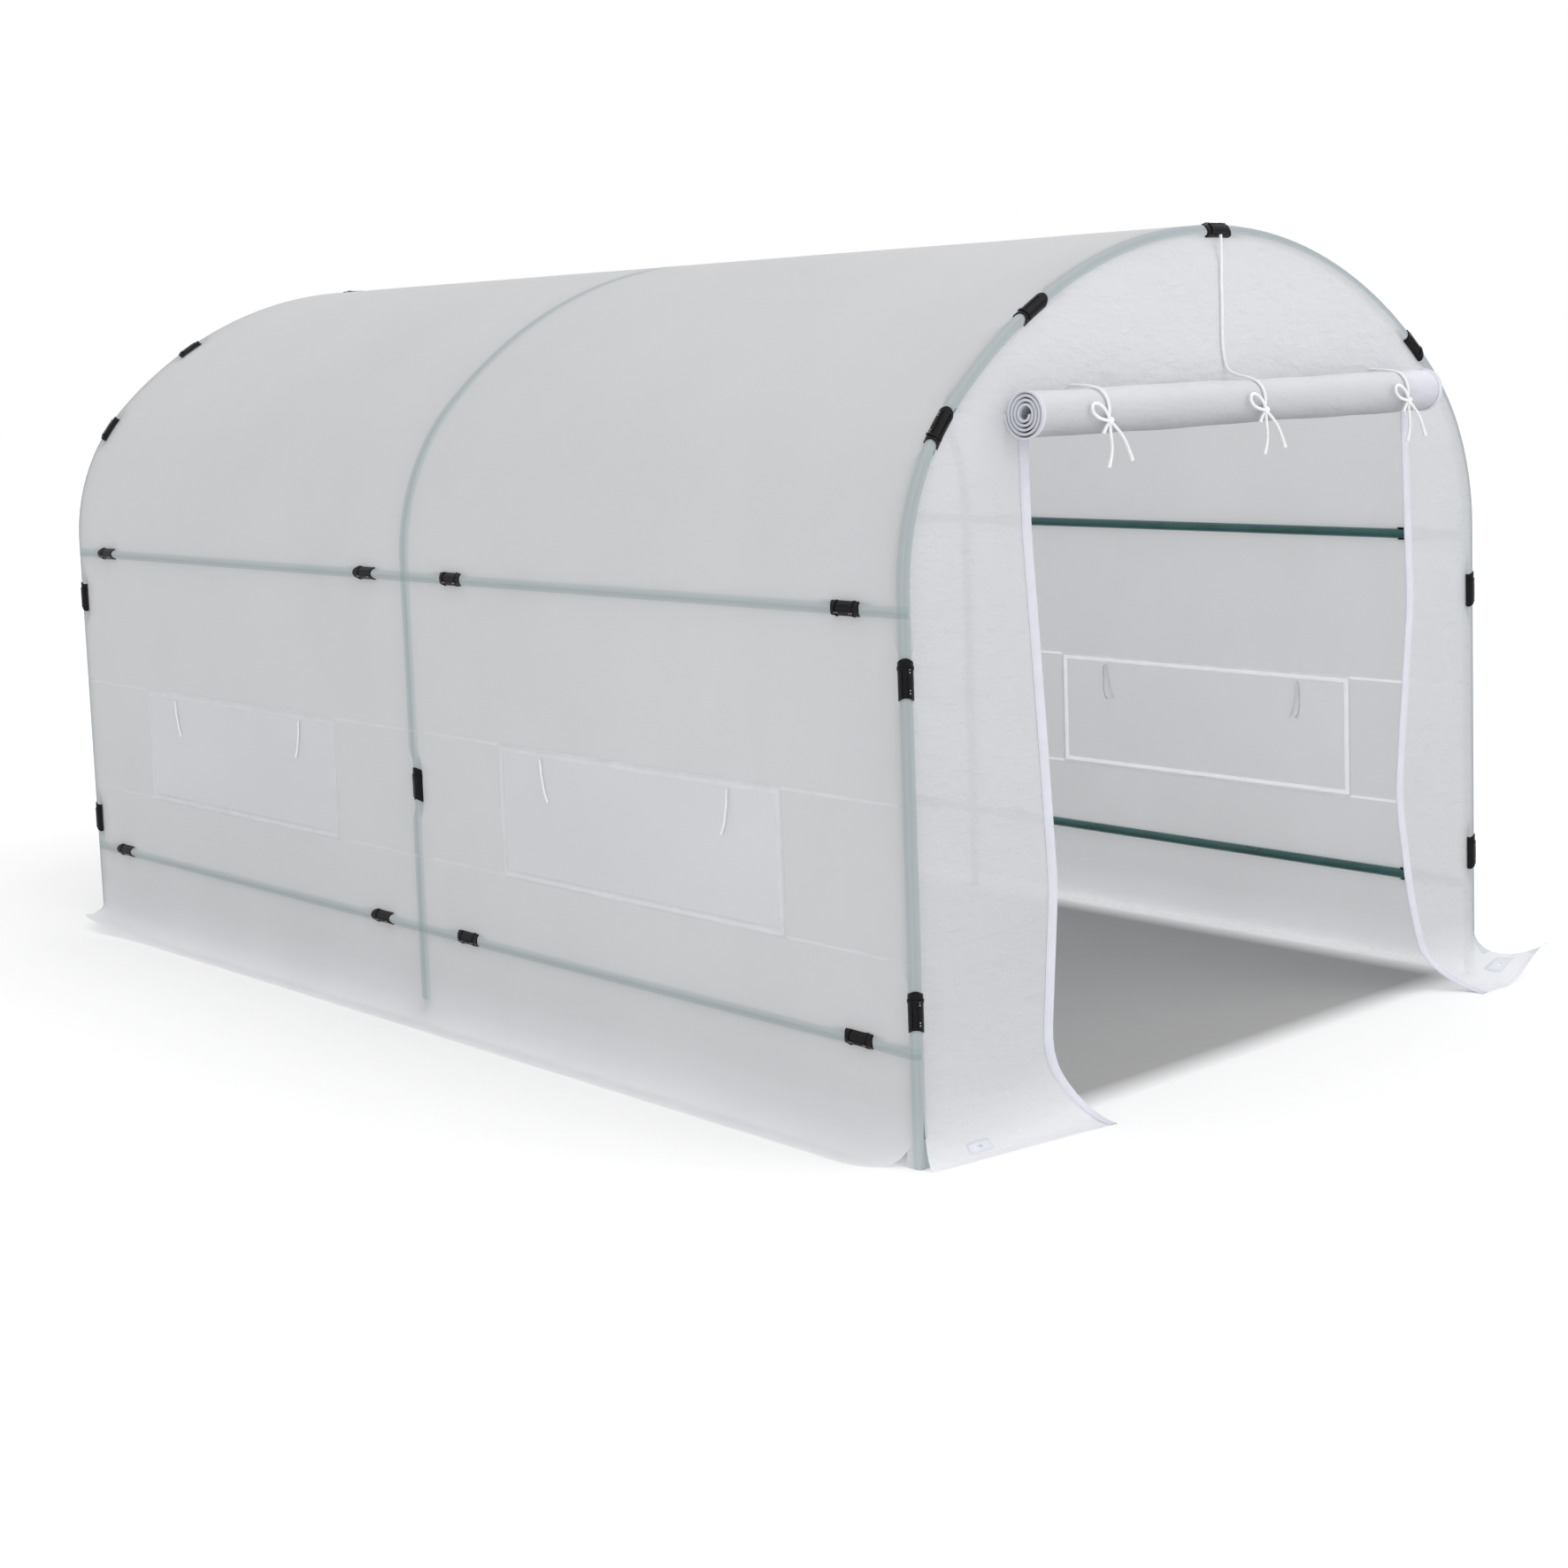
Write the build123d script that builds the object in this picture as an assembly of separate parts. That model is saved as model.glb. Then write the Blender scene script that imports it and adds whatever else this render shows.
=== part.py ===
from build123d import *
import math
import os

# Walk-in garden tunnel: a film cover clipped over a frame of three steel hoops and four lines of rail.
# Millimetres. X runs across the tunnel, +Y to the back, +Z up; the origin is on the ground in the middle.

# Steel frame
TUBE_OD = 25.0
TUBE_WALL = 1.0
HOOP_SPAN = 2020.0
HOOP_SPACING = 1740.0
UPPER_RAIL_Z = 1135.0
LOWER_RAIL_Z = 240.0
APEX_Z = 1890.0
HAUNCH_RADIUS = 530.0
FITTING_REACH = 30.0
SPIGOT_LENGTH = 45.0
SPIGOT_WALL = 1.5
SPIGOT_CLEARANCE = 0.1
WELD_LENGTH = 15.0
FITTING_CORE = 18.0

# Film cover
FILM = 1.2
FILM_CLEARANCE = 0.3
EDGE_CLEARANCE = 0.3
SKIRT_TOP_Z = 150.0
SIDE_SKIRT_BEND = 55.0
SIDE_SKIRT_FLAT = 18.0
SIDE_SKIRT_CORNER = 60.0
END_SKIRT_BEND = 90.0
END_SKIRT_FLAT = 40.0
END_SKIRT_CORNER = 28.0
CORNER_SLIT = 30.0
HAUNCH_STRIPS = 2
CROWN_STRIPS = 5

# Doorway in the front and the roll of its door
DOOR_WIDTH = 1340.0
DOOR_HEM = 28.0
HEM_THICKNESS = 2.0
ROLL_DIAMETER = 108.0
ROLL_LENGTH = 1434.0
ROLL_Z = 1514.0
ROLL_PITCH = 9.0
ROLL_TURNS = 4.5

# Eyelets on the front skirts
EYELET_HOLE = 10.0
EYELET_PATCH_DEPTH = 34.0
EYELET_PATCH_WIDTH = 64.0
EYELET_FROM_EDGE = 24.0

# Windows in the side walls
WINDOW_WIDTH = 1000.0
WINDOW_BOTTOM_Z = 426.0
WINDOW_TOP_Z = 745.0
WINDOW_HEM = 20.0
HEM_RISE = 1.2

# Snap clips
CLIP_LENGTH = 90.0
CLIP_THICKNESS = 3.4
CLIP_WRAP = 115.0
CLIP_SCOOP = 20.0
COLLAR_LENGTH = 7.0
COLLAR_RISE = 1.2
COLLAR_FROM_END = 22.0
RAIL_CLIP_FROM_END = 160.0
RAIL_CLIP_FROM_MIDDLE = 190.0
END_LEG_CLIP_ZS = (325.0, 1000.0)
MIDDLE_LEG_CLIP_Z = 607.0
HAUNCH_CLIP_ANGLE = 38.4
UPPER_CLIP_LEAN = 30.2
RIGHT_CLIP_LEAN = 39.0

# Cords
DOOR_CORD = 7.0
WINDOW_CORD = 5.0
CORD_GAP = 0.6
ARC_SHARE = 0.45
DOOR_TIE_XS = (-515.0, 15.0, 569.0)
TIE_ANCHOR_RISE = 52.0
LONG_CORD_RISE = 61.0
KNOT_SIZE = 20.0
KNOT_BELOW_AXIS = 22.0
HANG_ANGLE = 30.0
WINDOW_TIE_INSET = 165.0
# Routes of the loop and the tails of a bow: across and up from the knot
BOW = {
    "loop": ((-4, 0), (-24, 3), (-44, 9), (-62, 22), (-56, 38), (-38, 37), (-20, 24), (-4, 5)),
    "stub": ((-2, -4), (-11, -13), (-18, -26)),
    "tail": ((1, -5), (4, -28), (8, -51), (6, -75), (-4, -97)),
    "side tail": ((4, -3), (25, -17), (45, -36), (60, -60), (72, -86)),
}
# Route of the long cord down the gable from the top clip: across and down from the top of the hoop
LONG_CORD = ((0, 9), (1, 58), (-1, 112), (1, 168), (-1, 224), (2, 272))
# Routes of a window's ties: towards the window's middle and down from its hem
WINDOW_TIE_OUTSIDE = ((0, 0), (4, 16), (3, 32), (9, 56), (14, 82), (25, 100))
WINDOW_TIE_INSIDE = ((-4, 3), (-11, 20), (-8, 42), (-9, 68), (-7, 88), (2, 101))

# Sizes that follow from those above
HALF_SPAN = HOOP_SPAN / 2
FRONT_Y = -HOOP_SPACING
TUBE_ID = TUBE_OD - 2 * TUBE_WALL
SPIGOT_OD = TUBE_ID - 2 * SPIGOT_CLEARANCE
SPIGOT_ID = SPIGOT_OD - 2 * SPIGOT_WALL
SPRING_Z = UPPER_RAIL_Z + FITTING_REACH
HAUNCH_X = HALF_SPAN - HAUNCH_RADIUS
ARCH_RISE = APEX_Z - SPRING_Z
CROWN_RADIUS = (HAUNCH_X**2 + ARCH_RISE**2 - HAUNCH_RADIUS**2) / (2 * (ARCH_RISE - HAUNCH_RADIUS))
CROWN_Z = APEX_Z - CROWN_RADIUS
JOINT_ANGLE = math.degrees(math.atan2(SPRING_Z - CROWN_Z, HAUNCH_X))
FILM_IN = TUBE_OD / 2 + FILM_CLEARANCE
FILM_OUT = FILM_IN + FILM
CLIP_OUT = FILM_IN + CLIP_THICKNESS
HAUNCH = (HAUNCH_X, SPRING_Z, HAUNCH_RADIUS)
CROWN = (0.0, CROWN_Z, CROWN_RADIUS)
ROOM_DIAMETER = 2 * (CLIP_OUT + COLLAR_RISE + EDGE_CLEARANCE)
ROOM_HALF = CLIP_LENGTH / 2 + EDGE_CLEARANCE
FRONT_FACE_Y = FRONT_Y - FILM_OUT
ROLL_Y = FRONT_FACE_Y - FILM_CLEARANCE - ROLL_DIAMETER / 2
ROLL_STEP = ROLL_PITCH / 2
OUTER_TURN = (ROLL_DIAMETER - FILM - ROLL_STEP) / 2
BEARING_Y = ROLL_Y - ROLL_STEP / 2
CORD_OFF_ROLL = OUTER_TURN - ROLL_STEP + FILM / 2 + CORD_GAP + DOOR_CORD / 2
CORD_Y = FRONT_FACE_Y - CORD_GAP - DOOR_CORD / 2
KNOT_LIFT = (KNOT_SIZE - DOOR_CORD) / 2


def write(name, shapes):
    """Write one named piece, or several like pieces that do not touch."""
    shapes = shapes if isinstance(shapes, list) else [shapes]
    solids = [solid for shape in shapes for solid in shape.solids()]
    export_step(solids[0] if len(solids) == 1 else Compound(solids), f"parts/{name}.step")


def both_sides(shape):
    """A piece of the right side and its mirror image on the left."""
    return [shape, shape.mirror(Plane.YZ)]


def degrees_along(length, radius):
    """Angle that a length covers on an arc."""
    return math.degrees(length / radius)


def rod(start, direction, near, far, diameter):
    """Round bar along a line, between two distances from its start."""
    line = Plane(origin=start, z_dir=direction)
    return extrude(line.offset(near) * Circle(diameter / 2), amount=far - near)


def ring(outer, inner):
    """Section of a tube."""
    return Circle(outer / 2) - Circle(inner / 2)


def straight_tube(start, end):
    """Length of the frame's tube between two points."""
    run = Vector(*end) - Vector(*start)
    return extrude(Plane(origin=start, z_dir=run) * ring(TUBE_OD, TUBE_ID), amount=run.length)


def swept_along(arc, section, first, last, y=0.0):
    """Turn a section through an arc of the hoop, from one angle above the horizontal to another."""
    centre_x, centre_z, radius = arc
    axis = Axis((centre_x, y, centre_z), (0, -1, 0))
    placed = Plane(origin=(centre_x + radius, y, centre_z), x_dir=(1, 0, 0), z_dir=(0, 0, 1)) * section
    return revolve(placed, axis=axis, revolution_arc=last - first).rotate(axis, first)


# Frame

def leg(y):
    """Both lengths of a right leg: from the ground to the lower rail, and on to the upper rail."""
    foot = straight_tube((HALF_SPAN, y, 0), (HALF_SPAN, y, LOWER_RAIL_Z - FITTING_REACH))
    shank = straight_tube(
        (HALF_SPAN, y, LOWER_RAIL_Z + FITTING_REACH), (HALF_SPAN, y, UPPER_RAIL_Z - FITTING_REACH)
    )
    return [foot, shank]


def crown_tube(y):
    """Crown of a hoop, with a sleeve welded in each end that plugs into the haunch."""
    weld = JOINT_ANGLE + degrees_along(WELD_LENGTH, CROWN_RADIUS)
    plug = JOINT_ANGLE - degrees_along(SPIGOT_LENGTH, HAUNCH_RADIUS)
    crown = swept_along(CROWN, ring(TUBE_OD, TUBE_ID), JOINT_ANGLE, 180 - JOINT_ANGLE, y)
    collar = swept_along(CROWN, ring(TUBE_OD, SPIGOT_ID), JOINT_ANGLE, weld, y)
    spigot = swept_along(HAUNCH, ring(SPIGOT_OD, SPIGOT_ID), plug, JOINT_ANGLE, y)
    for piece in both_sides(collar) + both_sides(spigot):
        crown += piece
    return crown


def straight_arm(centre, direction):
    """Arm of a fitting and the spigot that plugs into a straight tube."""
    tip = FITTING_REACH + SPIGOT_LENGTH
    body = rod(centre, direction, 0, FITTING_REACH, TUBE_OD)
    spigot = rod(centre, direction, 0, tip, SPIGOT_OD)
    return body + spigot, rod(centre, direction, FITTING_CORE, tip, SPIGOT_ID)


def rail_arms(centre):
    """Arms of a fitting along the rail: one at an end hoop, two at the middle one."""
    y = centre[1]
    return [straight_arm(centre, (0, way, 0)) for way in (-1, 1) if y * way <= 0]


def fitting(arms):
    """Fitting whose bored arms meet in a solid core."""
    body = arms[0][0]
    for arm, _ in arms[1:]:
        body += arm
    for _, bore in arms:
        body -= bore
    return body


def lower_fitting(y):
    centre = (HALF_SPAN, y, LOWER_RAIL_Z)
    return fitting([straight_arm(centre, (0, 0, 1)), straight_arm(centre, (0, 0, -1))] + rail_arms(centre))


def upper_fitting(y):
    """Fitting at the upper rail, whose top spigot bends with the haunch."""
    centre = (HALF_SPAN, y, UPPER_RAIL_Z)
    bend = degrees_along(SPIGOT_LENGTH, HAUNCH_RADIUS)
    top_body = rod(centre, (0, 0, 1), 0, FITTING_REACH, TUBE_OD)
    top_bore = rod(centre, (0, 0, 1), FITTING_CORE, FITTING_REACH, SPIGOT_ID)
    top_spigot = swept_along(HAUNCH, ring(SPIGOT_OD, SPIGOT_ID), 0, bend, y)
    arms = [(top_body, top_bore), straight_arm(centre, (0, 0, -1))] + rail_arms(centre)
    return fitting(arms) + top_spigot


def rail(x, z):
    """Two lengths of rail, one in each bay, between the fittings of the hoops."""
    near, far = FITTING_REACH, HOOP_SPACING - FITTING_REACH
    return [straight_tube((x, way * near, z), (x, way * far, z)) for way in (-1, 1)]


def write_frame():
    for name, y in (("front", FRONT_Y), ("middle", 0.0), ("back", HOOP_SPACING)):
        legs = [side for length in leg(y) for side in both_sides(length)]
        write(f"{name}_hoop_legs", legs)
        haunch = swept_along(HAUNCH, ring(TUBE_OD, TUBE_ID), 0, JOINT_ANGLE, y)
        write(f"{name}_hoop_haunches", both_sides(haunch))
        write(f"{name}_hoop_crown", crown_tube(y))
        write(f"{name}_hoop_fittings", both_sides(lower_fitting(y)) + both_sides(upper_fitting(y)))
    for name, x in (("left", -HALF_SPAN), ("right", HALF_SPAN)):
        write(f"{name}_rails", rail(x, UPPER_RAIL_Z) + rail(x, LOWER_RAIL_Z))


# Snap clips, and the places where they close round the tube and the film

def clip_section():
    """Section of a clip, open at the back; local X points out of the tunnel."""
    reach = 2 * CLIP_OUT
    slope = math.tan(math.radians(180 - CLIP_WRAP))
    mouth = Polygon((0, 0), (-reach, reach * slope), (-reach, -reach * slope), align=None)
    return Circle(CLIP_OUT) - Circle(FILM_IN) - mouth


def collar_section():
    """Section of the raised collar near a clip's rounded end."""
    front_half = Pos(CLIP_OUT, 0) * Rectangle(2 * CLIP_OUT, 3 * CLIP_OUT)
    return (Circle(CLIP_OUT + COLLAR_RISE) - Circle(FILM_IN)) & front_half


def clip_outline():
    """Outline of a clip seen from outside: one end a rounded tongue, the other scooped out."""
    width = 2 * (CLIP_OUT + COLLAR_RISE)
    tongue = CLIP_LENGTH / 2 - width / 2
    body = Pos(0, -width / 4) * Rectangle(width, CLIP_LENGTH - width / 2)
    body += Pos(0, tongue) * Circle(width / 2)
    return body - Pos(0, -CLIP_LENGTH / 2 - CLIP_SCOOP / 2) * Circle(CLIP_SCOOP)


def finished_clip(shell, centre, along, out):
    """Give a shell round the tube the outline of a clip."""
    face = Plane(origin=centre, x_dir=Vector(*along).cross(Vector(*out)), z_dir=out)
    return shell & extrude(face * clip_outline(), amount=2 * CLIP_OUT, both=True)


def straight_clip(centre, along, out):
    """Clip on a straight tube, and the room that the film leaves for it."""
    middle = Plane(origin=centre, x_dir=out, z_dir=along)
    shell = extrude(middle * clip_section(), amount=CLIP_LENGTH / 2, both=True)
    collar_at = middle.offset(CLIP_LENGTH / 2 - COLLAR_FROM_END)
    shell += extrude(collar_at * collar_section(), amount=COLLAR_LENGTH / 2, both=True)
    room = rod(centre, along, -ROOM_HALF, ROOM_HALF, ROOM_DIAMETER)
    return finished_clip(shell, centre, along, out), room


def arch_clip(arc, angle, y, out_y):
    """Clip on a hoop's arc, and the room for it; out_y leans it off the arc towards an end wall."""
    centre_x, centre_z, radius = arc
    half = degrees_along(CLIP_LENGTH / 2, radius)
    lean = Rot(0, 0, math.degrees(math.atan2(out_y, 1)))
    shell = swept_along(arc, lean * clip_section(), angle - half, angle + half, y)
    collar_mid = angle + half - degrees_along(COLLAR_FROM_END, radius)
    collar_half = degrees_along(COLLAR_LENGTH / 2, radius)
    shell += swept_along(arc, lean * collar_section(), collar_mid - collar_half, collar_mid + collar_half, y)
    cosine, sine = math.cos(math.radians(angle)), math.sin(math.radians(angle))
    centre = (centre_x + radius * cosine, y, centre_z + radius * sine)
    room_half = degrees_along(ROOM_HALF, radius)
    room = swept_along(arc, Circle(ROOM_DIAMETER / 2), angle - room_half, angle + room_half, y)
    return finished_clip(shell, centre, (-sine, 0, cosine), (cosine, out_y, sine)), room


def rail_clips(way):
    """Clips on both rails of the right side, in the front bay (way -1) or the back bay (way 1)."""
    clips = []
    for z in (LOWER_RAIL_Z, UPPER_RAIL_Z):
        for y in (RAIL_CLIP_FROM_MIDDLE, HOOP_SPACING - RAIL_CLIP_FROM_END):
            clips.append(straight_clip((HALF_SPAN, way * y, z), (0, way, 0), (1, 0, 0)))
    return clips


def end_leg_clips(way):
    """Clips on a right leg of an end hoop, turned to the corner of the cover."""
    y = way * HOOP_SPACING
    return [straight_clip((HALF_SPAN, y, z), (0, 0, 1), (1, way, 0)) for z in END_LEG_CLIP_ZS]


def mirrored(clips):
    """The same clips on the left side."""
    return [(clip.mirror(Plane.YZ), room.mirror(Plane.YZ)) for clip, room in clips]


def clip_groups():
    """Clips of the front, the middle and the back of the tunnel, each with its room."""
    groups = {}
    for name, way in (("front", -1), ("back", 1)):
        y = way * HOOP_SPACING
        haunch_clip = [arch_clip(HAUNCH, HAUNCH_CLIP_ANGLE, y, way)]
        upper_clip = [arch_clip(CROWN, 90 - UPPER_CLIP_LEAN, y, way)]
        right = rail_clips(way) + end_leg_clips(way)
        left = mirrored(right) + mirrored(haunch_clip + upper_clip)
        right += haunch_clip + upper_clip if way > 0 else [arch_clip(CROWN, 90 - RIGHT_CLIP_LEAN, y, way)]
        groups[name] = left + right + [arch_clip(CROWN, 90, y, way)]
    middle = [straight_clip((HALF_SPAN, 0, MIDDLE_LEG_CLIP_Z), (0, 0, 1), (1, 0, 0))]
    groups["middle"] = middle + mirrored(middle)
    return groups


# Film cover

def notched(piece, rooms):
    """Take the clips' rooms out of a piece of film."""
    box = piece.bounding_box()
    for room in rooms:
        other = room.bounding_box()
        apart = (
            other.min.X > box.max.X or other.max.X < box.min.X
            or other.min.Y > box.max.Y or other.max.Y < box.min.Y
            or other.min.Z > box.max.Z or other.max.Z < box.min.Z
        )
        if not apart:
            piece = piece - room
    return piece


def film_section():
    """Section of the film along the tunnel, turned round the end hoops; local X points outwards."""
    outer = Rot(0, 0, 90) * SlotCenterToCenter(2 * HOOP_SPACING, 2 * FILM_OUT)
    inner = Rot(0, 0, 90) * SlotCenterToCenter(2 * HOOP_SPACING, 2 * FILM_IN)
    outer_half = Pos(FILM_OUT, 0) * Rectangle(2 * FILM_OUT, 2 * (HOOP_SPACING + TUBE_OD))
    return (outer - inner) & outer_half


def wall_strip(bottom, top):
    """Strip of the right wall between two heights, turned round the corner posts."""
    return extrude(Pos(HALF_SPAN, 0, bottom) * film_section(), amount=top - bottom)


def wall_piers():
    """The parts of the right wall in front of, between and behind the windows."""
    strip = wall_strip(WINDOW_BOTTOM_Z, WINDOW_TOP_Z)
    height = WINDOW_TOP_Z - WINDOW_BOTTOM_Z
    for way in (-1, 1):
        window = Pos(HALF_SPAN + FILM_OUT, way * HOOP_SPACING / 2, WINDOW_BOTTOM_Z + height / 2)
        strip -= window * Box(2 * FILM_OUT, WINDOW_WIDTH, height)
    return strip


def arch_outline(inset, bottom):
    """Face under the hoop's line, from a height up; local Y is the height."""
    half = HALF_SPAN - inset
    base = Rectangle(2 * half, SPRING_Z - bottom, align=(Align.CENTER, Align.MIN))
    haunches = [Pos(way * HAUNCH_X, SPRING_Z) * Circle(HAUNCH_RADIUS - inset) for way in (-1, 1)]
    crown = Pos(0, CROWN_Z) * Circle(CROWN_RADIUS - inset)
    slope = math.tan(math.radians(JOINT_ANGLE))
    reach = 2 * HALF_SPAN
    rise = CROWN_Z + reach * slope
    wedge = Polygon((0, CROWN_Z), (reach, rise), (-reach, rise), align=None)
    above = Pos(0, SPRING_Z) * Rectangle(2 * reach, reach, align=(Align.CENTER, Align.MIN))
    between = Pos(0, SPRING_Z) * Rectangle(2 * HAUNCH_X, ARCH_RISE, align=(Align.CENTER, Align.MIN))
    top = (haunches[0] + haunches[1] + (between & crown)) & above
    return Pos(0, bottom) * base + top + (crown & wedge & above)


def end_panel(outline):
    """Flat film against the front of the end hoops."""
    return extrude(Plane.XZ.offset(HOOP_SPACING + FILM_IN) * outline, amount=FILM)


def front_panels():
    """The right panel beside the doorway and the gable over it."""
    outline = arch_outline(EDGE_CLEARANCE, SKIRT_TOP_Z)
    beside = Pos(DOOR_WIDTH / 2, 0) * Rectangle(HALF_SPAN, ROLL_Z, align=(Align.MIN, Align.MIN))
    over = Pos(0, ROLL_Z) * Rectangle(HOOP_SPAN, APEX_Z, align=(Align.CENTER, Align.MIN))
    return end_panel(outline & beside), end_panel(outline & over)


def hanging_section(layer, thickness, top, bend, flat):
    """Layer that hangs down the wall, bends outwards and lies on the ground; local X points outwards."""
    bend_x, lift = FILM_IN + bend, layer - FILM_IN
    radius = bend - lift
    hanging = Pos(layer, bend) * Rectangle(thickness, top - bend, align=(Align.MIN, Align.MIN))
    arc = Pos(bend_x, bend) * (Circle(radius) - Circle(radius - thickness))
    quarter = Pos(bend_x, bend) * Rectangle(bend, bend, align=(Align.MAX, Align.MAX))
    lying = Pos(bend_x, lift) * Rectangle(flat, thickness, align=(Align.MIN, Align.MIN))
    return hanging + (arc & quarter) + lying


def along_wall(section, first, last):
    """Extrude a section along the right of the Y axis, between two distances."""
    start = Plane(origin=(0, first, 0), x_dir=(1, 0, 0), z_dir=(0, -1, 0))
    return extrude(start * section, amount=first - last)


def skirt(first, last, bend, flat, corner, square_start=False):
    """Skirt along the right of a line, between two distances, with rounded corners on the ground."""
    strip = along_wall(hanging_section(FILM_IN, FILM, SKIRT_TOP_Z, bend, flat), first, last)
    start = first - corner if square_start else first
    reach = FILM_IN + bend + flat
    plan = Pos(0, (start + last) / 2) * RectangleRounded(2 * reach, last - start, corner)
    return strip & extrude(plan, amount=SKIRT_TOP_Z)


def end_skirt(first, last, square_start=False):
    """Skirt of an end wall, placed along the right of the Y axis."""
    return skirt(first, last, END_SKIRT_BEND, END_SKIRT_FLAT, END_SKIRT_CORNER, square_start)


def front_skirt():
    """Skirt right of the doorway, with a pierced eyelet patch on the ground."""
    piece = end_skirt(DOOR_WIDTH / 2, HALF_SPAN - CORNER_SLIT, square_start=True)
    middle = (DOOR_WIDTH / 2 + HALF_SPAN - CORNER_SLIT) / 2
    eyelet = Pos(FILM_IN + END_SKIRT_BEND + END_SKIRT_FLAT - EYELET_FROM_EDGE, middle)
    piece += extrude(eyelet * Rectangle(EYELET_PATCH_DEPTH, EYELET_PATCH_WIDTH), amount=2 * FILM)
    piece -= extrude(eyelet * Circle(EYELET_HOLE / 2), amount=2 * FILM)
    return Pos(0, FRONT_Y) * Rot(0, 0, -90) * piece


def write_cover(rooms):
    lower, upper = wall_strip(SKIRT_TOP_Z, WINDOW_BOTTOM_Z), wall_strip(WINDOW_TOP_Z, SPRING_Z)
    for level, strip in (("lower", lower), ("piers", wall_piers()), ("upper", upper)):
        for name, piece in zip(("right", "left"), both_sides(strip)):
            write(f"{name}_wall_{level}", notched(piece, rooms))

    haunch_step = JOINT_ANGLE / HAUNCH_STRIPS
    for count, name in enumerate(("lower", "upper")):
        strip = swept_along(HAUNCH, film_section(), count * haunch_step, (count + 1) * haunch_step)
        write(f"roof_haunch_{name}", [notched(piece, rooms) for piece in both_sides(strip)])

    crown_step = (180 - 2 * JOINT_ANGLE) / CROWN_STRIPS
    for count, name in enumerate(("outer", "inner")):
        first = JOINT_ANGLE + count * crown_step
        strip = swept_along(CROWN, film_section(), first, first + crown_step)
        write(f"roof_crown_{name}", [notched(piece, rooms) for piece in both_sides(strip)])
    ridge = swept_along(CROWN, film_section(), 90 - crown_step / 2, 90 + crown_step / 2)
    write("roof_ridge", notched(ridge, rooms))

    panel, gable = front_panels()
    for name, piece in zip(("right", "left"), both_sides(panel)):
        write(f"front_panel_{name}", notched(piece, rooms))
    write("front_gable", notched(gable, rooms))
    back = end_panel(arch_outline(EDGE_CLEARANCE, SKIRT_TOP_Z)).mirror(Plane.XZ)
    write("back_panel", notched(back, rooms))

    side_end, back_end = HOOP_SPACING - CORNER_SLIT, HALF_SPAN - CORNER_SLIT
    side_skirt = skirt(-side_end, side_end, SIDE_SKIRT_BEND, SIDE_SKIRT_FLAT, SIDE_SKIRT_CORNER)
    for name, piece in zip(("right", "left"), both_sides(Pos(HALF_SPAN, 0) * side_skirt)):
        write(f"{name}_skirt", piece)
    write("back_skirt", Pos(0, HOOP_SPACING) * Rot(0, 0, 90) * end_skirt(-back_end, back_end))
    for name, piece in zip(("right", "left"), both_sides(front_skirt())):
        write(f"front_skirt_{name}", piece)


# Windows, door roll and ties

def window_pane(layer, inset, thickness):
    """Upright sheet over a window's place in the right wall of the back bay."""
    height = WINDOW_TOP_Z - WINDOW_BOTTOM_Z
    place = Pos(HALF_SPAN + layer + thickness / 2, HOOP_SPACING / 2, WINDOW_BOTTOM_Z + height / 2)
    return place * Box(thickness, WINDOW_WIDTH - 2 * inset, height - 2 * inset)


def four_windows(piece):
    """A window's piece at all four windows."""
    return [copy for side in both_sides(piece) for copy in (side, side.mirror(Plane.XZ))]


def window_flap():
    """Closed flap outside the net, with a raised hem all round."""
    layer = FILM_OUT + FILM_CLEARANCE
    hem = window_pane(layer, 0, FILM + HEM_RISE) - window_pane(layer, WINDOW_HEM, FILM + HEM_RISE)
    return hem + window_pane(layer, 0, FILM)


def door_hem():
    """Edging right of the doorway, from the roll down to the edge of the front skirt."""
    top = ROLL_Z - ROLL_DIAMETER / 2 - EDGE_CLEARANCE
    layer = FILM_OUT + FILM_CLEARANCE
    section = hanging_section(layer, HEM_THICKNESS, top, END_SKIRT_BEND, END_SKIRT_FLAT)
    strip = along_wall(section, DOOR_WIDTH / 2, DOOR_WIDTH / 2 + DOOR_HEM)
    return Pos(0, FRONT_Y) * Rot(0, 0, -90) * strip


def door_roll():
    """The door's film, rolled up from below: half turns whose radius shrinks by half a pitch each."""
    spiral = Sketch()
    for count in range(round(2 * ROLL_TURNS)):
        radius = OUTER_TURN - count * ROLL_STEP
        side = 1 if count % 2 else -1
        half = Pos(0, side * ROLL_DIAMETER / 2) * Rectangle(2 * ROLL_DIAMETER, ROLL_DIAMETER)
        half_turn = (Circle(radius + FILM / 2) - Circle(radius - FILM / 2)) & half
        spiral += Pos(-side * ROLL_STEP / 2, 0) * half_turn
    section = Plane(origin=(-ROLL_LENGTH / 2, ROLL_Y, ROLL_Z), x_dir=(0, 1, 0), z_dir=(1, 0, 0))
    return extrude(section * spiral, amount=ROLL_LENGTH)


def cord_radii(points):
    """Radii of the arcs at a cord's inner points, each as large as its two runs allow."""
    radii = []
    for before, corner, after in zip(points, points[1:], points[2:]):
        arriving = Vector(*corner) - Vector(*before)
        leaving = Vector(*after) - Vector(*corner)
        half_turn = math.radians(arriving.get_angle(leaving)) / 2
        radii.append(ARC_SHARE * min(arriving.length, leaving.length) / math.tan(half_turn))
    return radii


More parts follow.
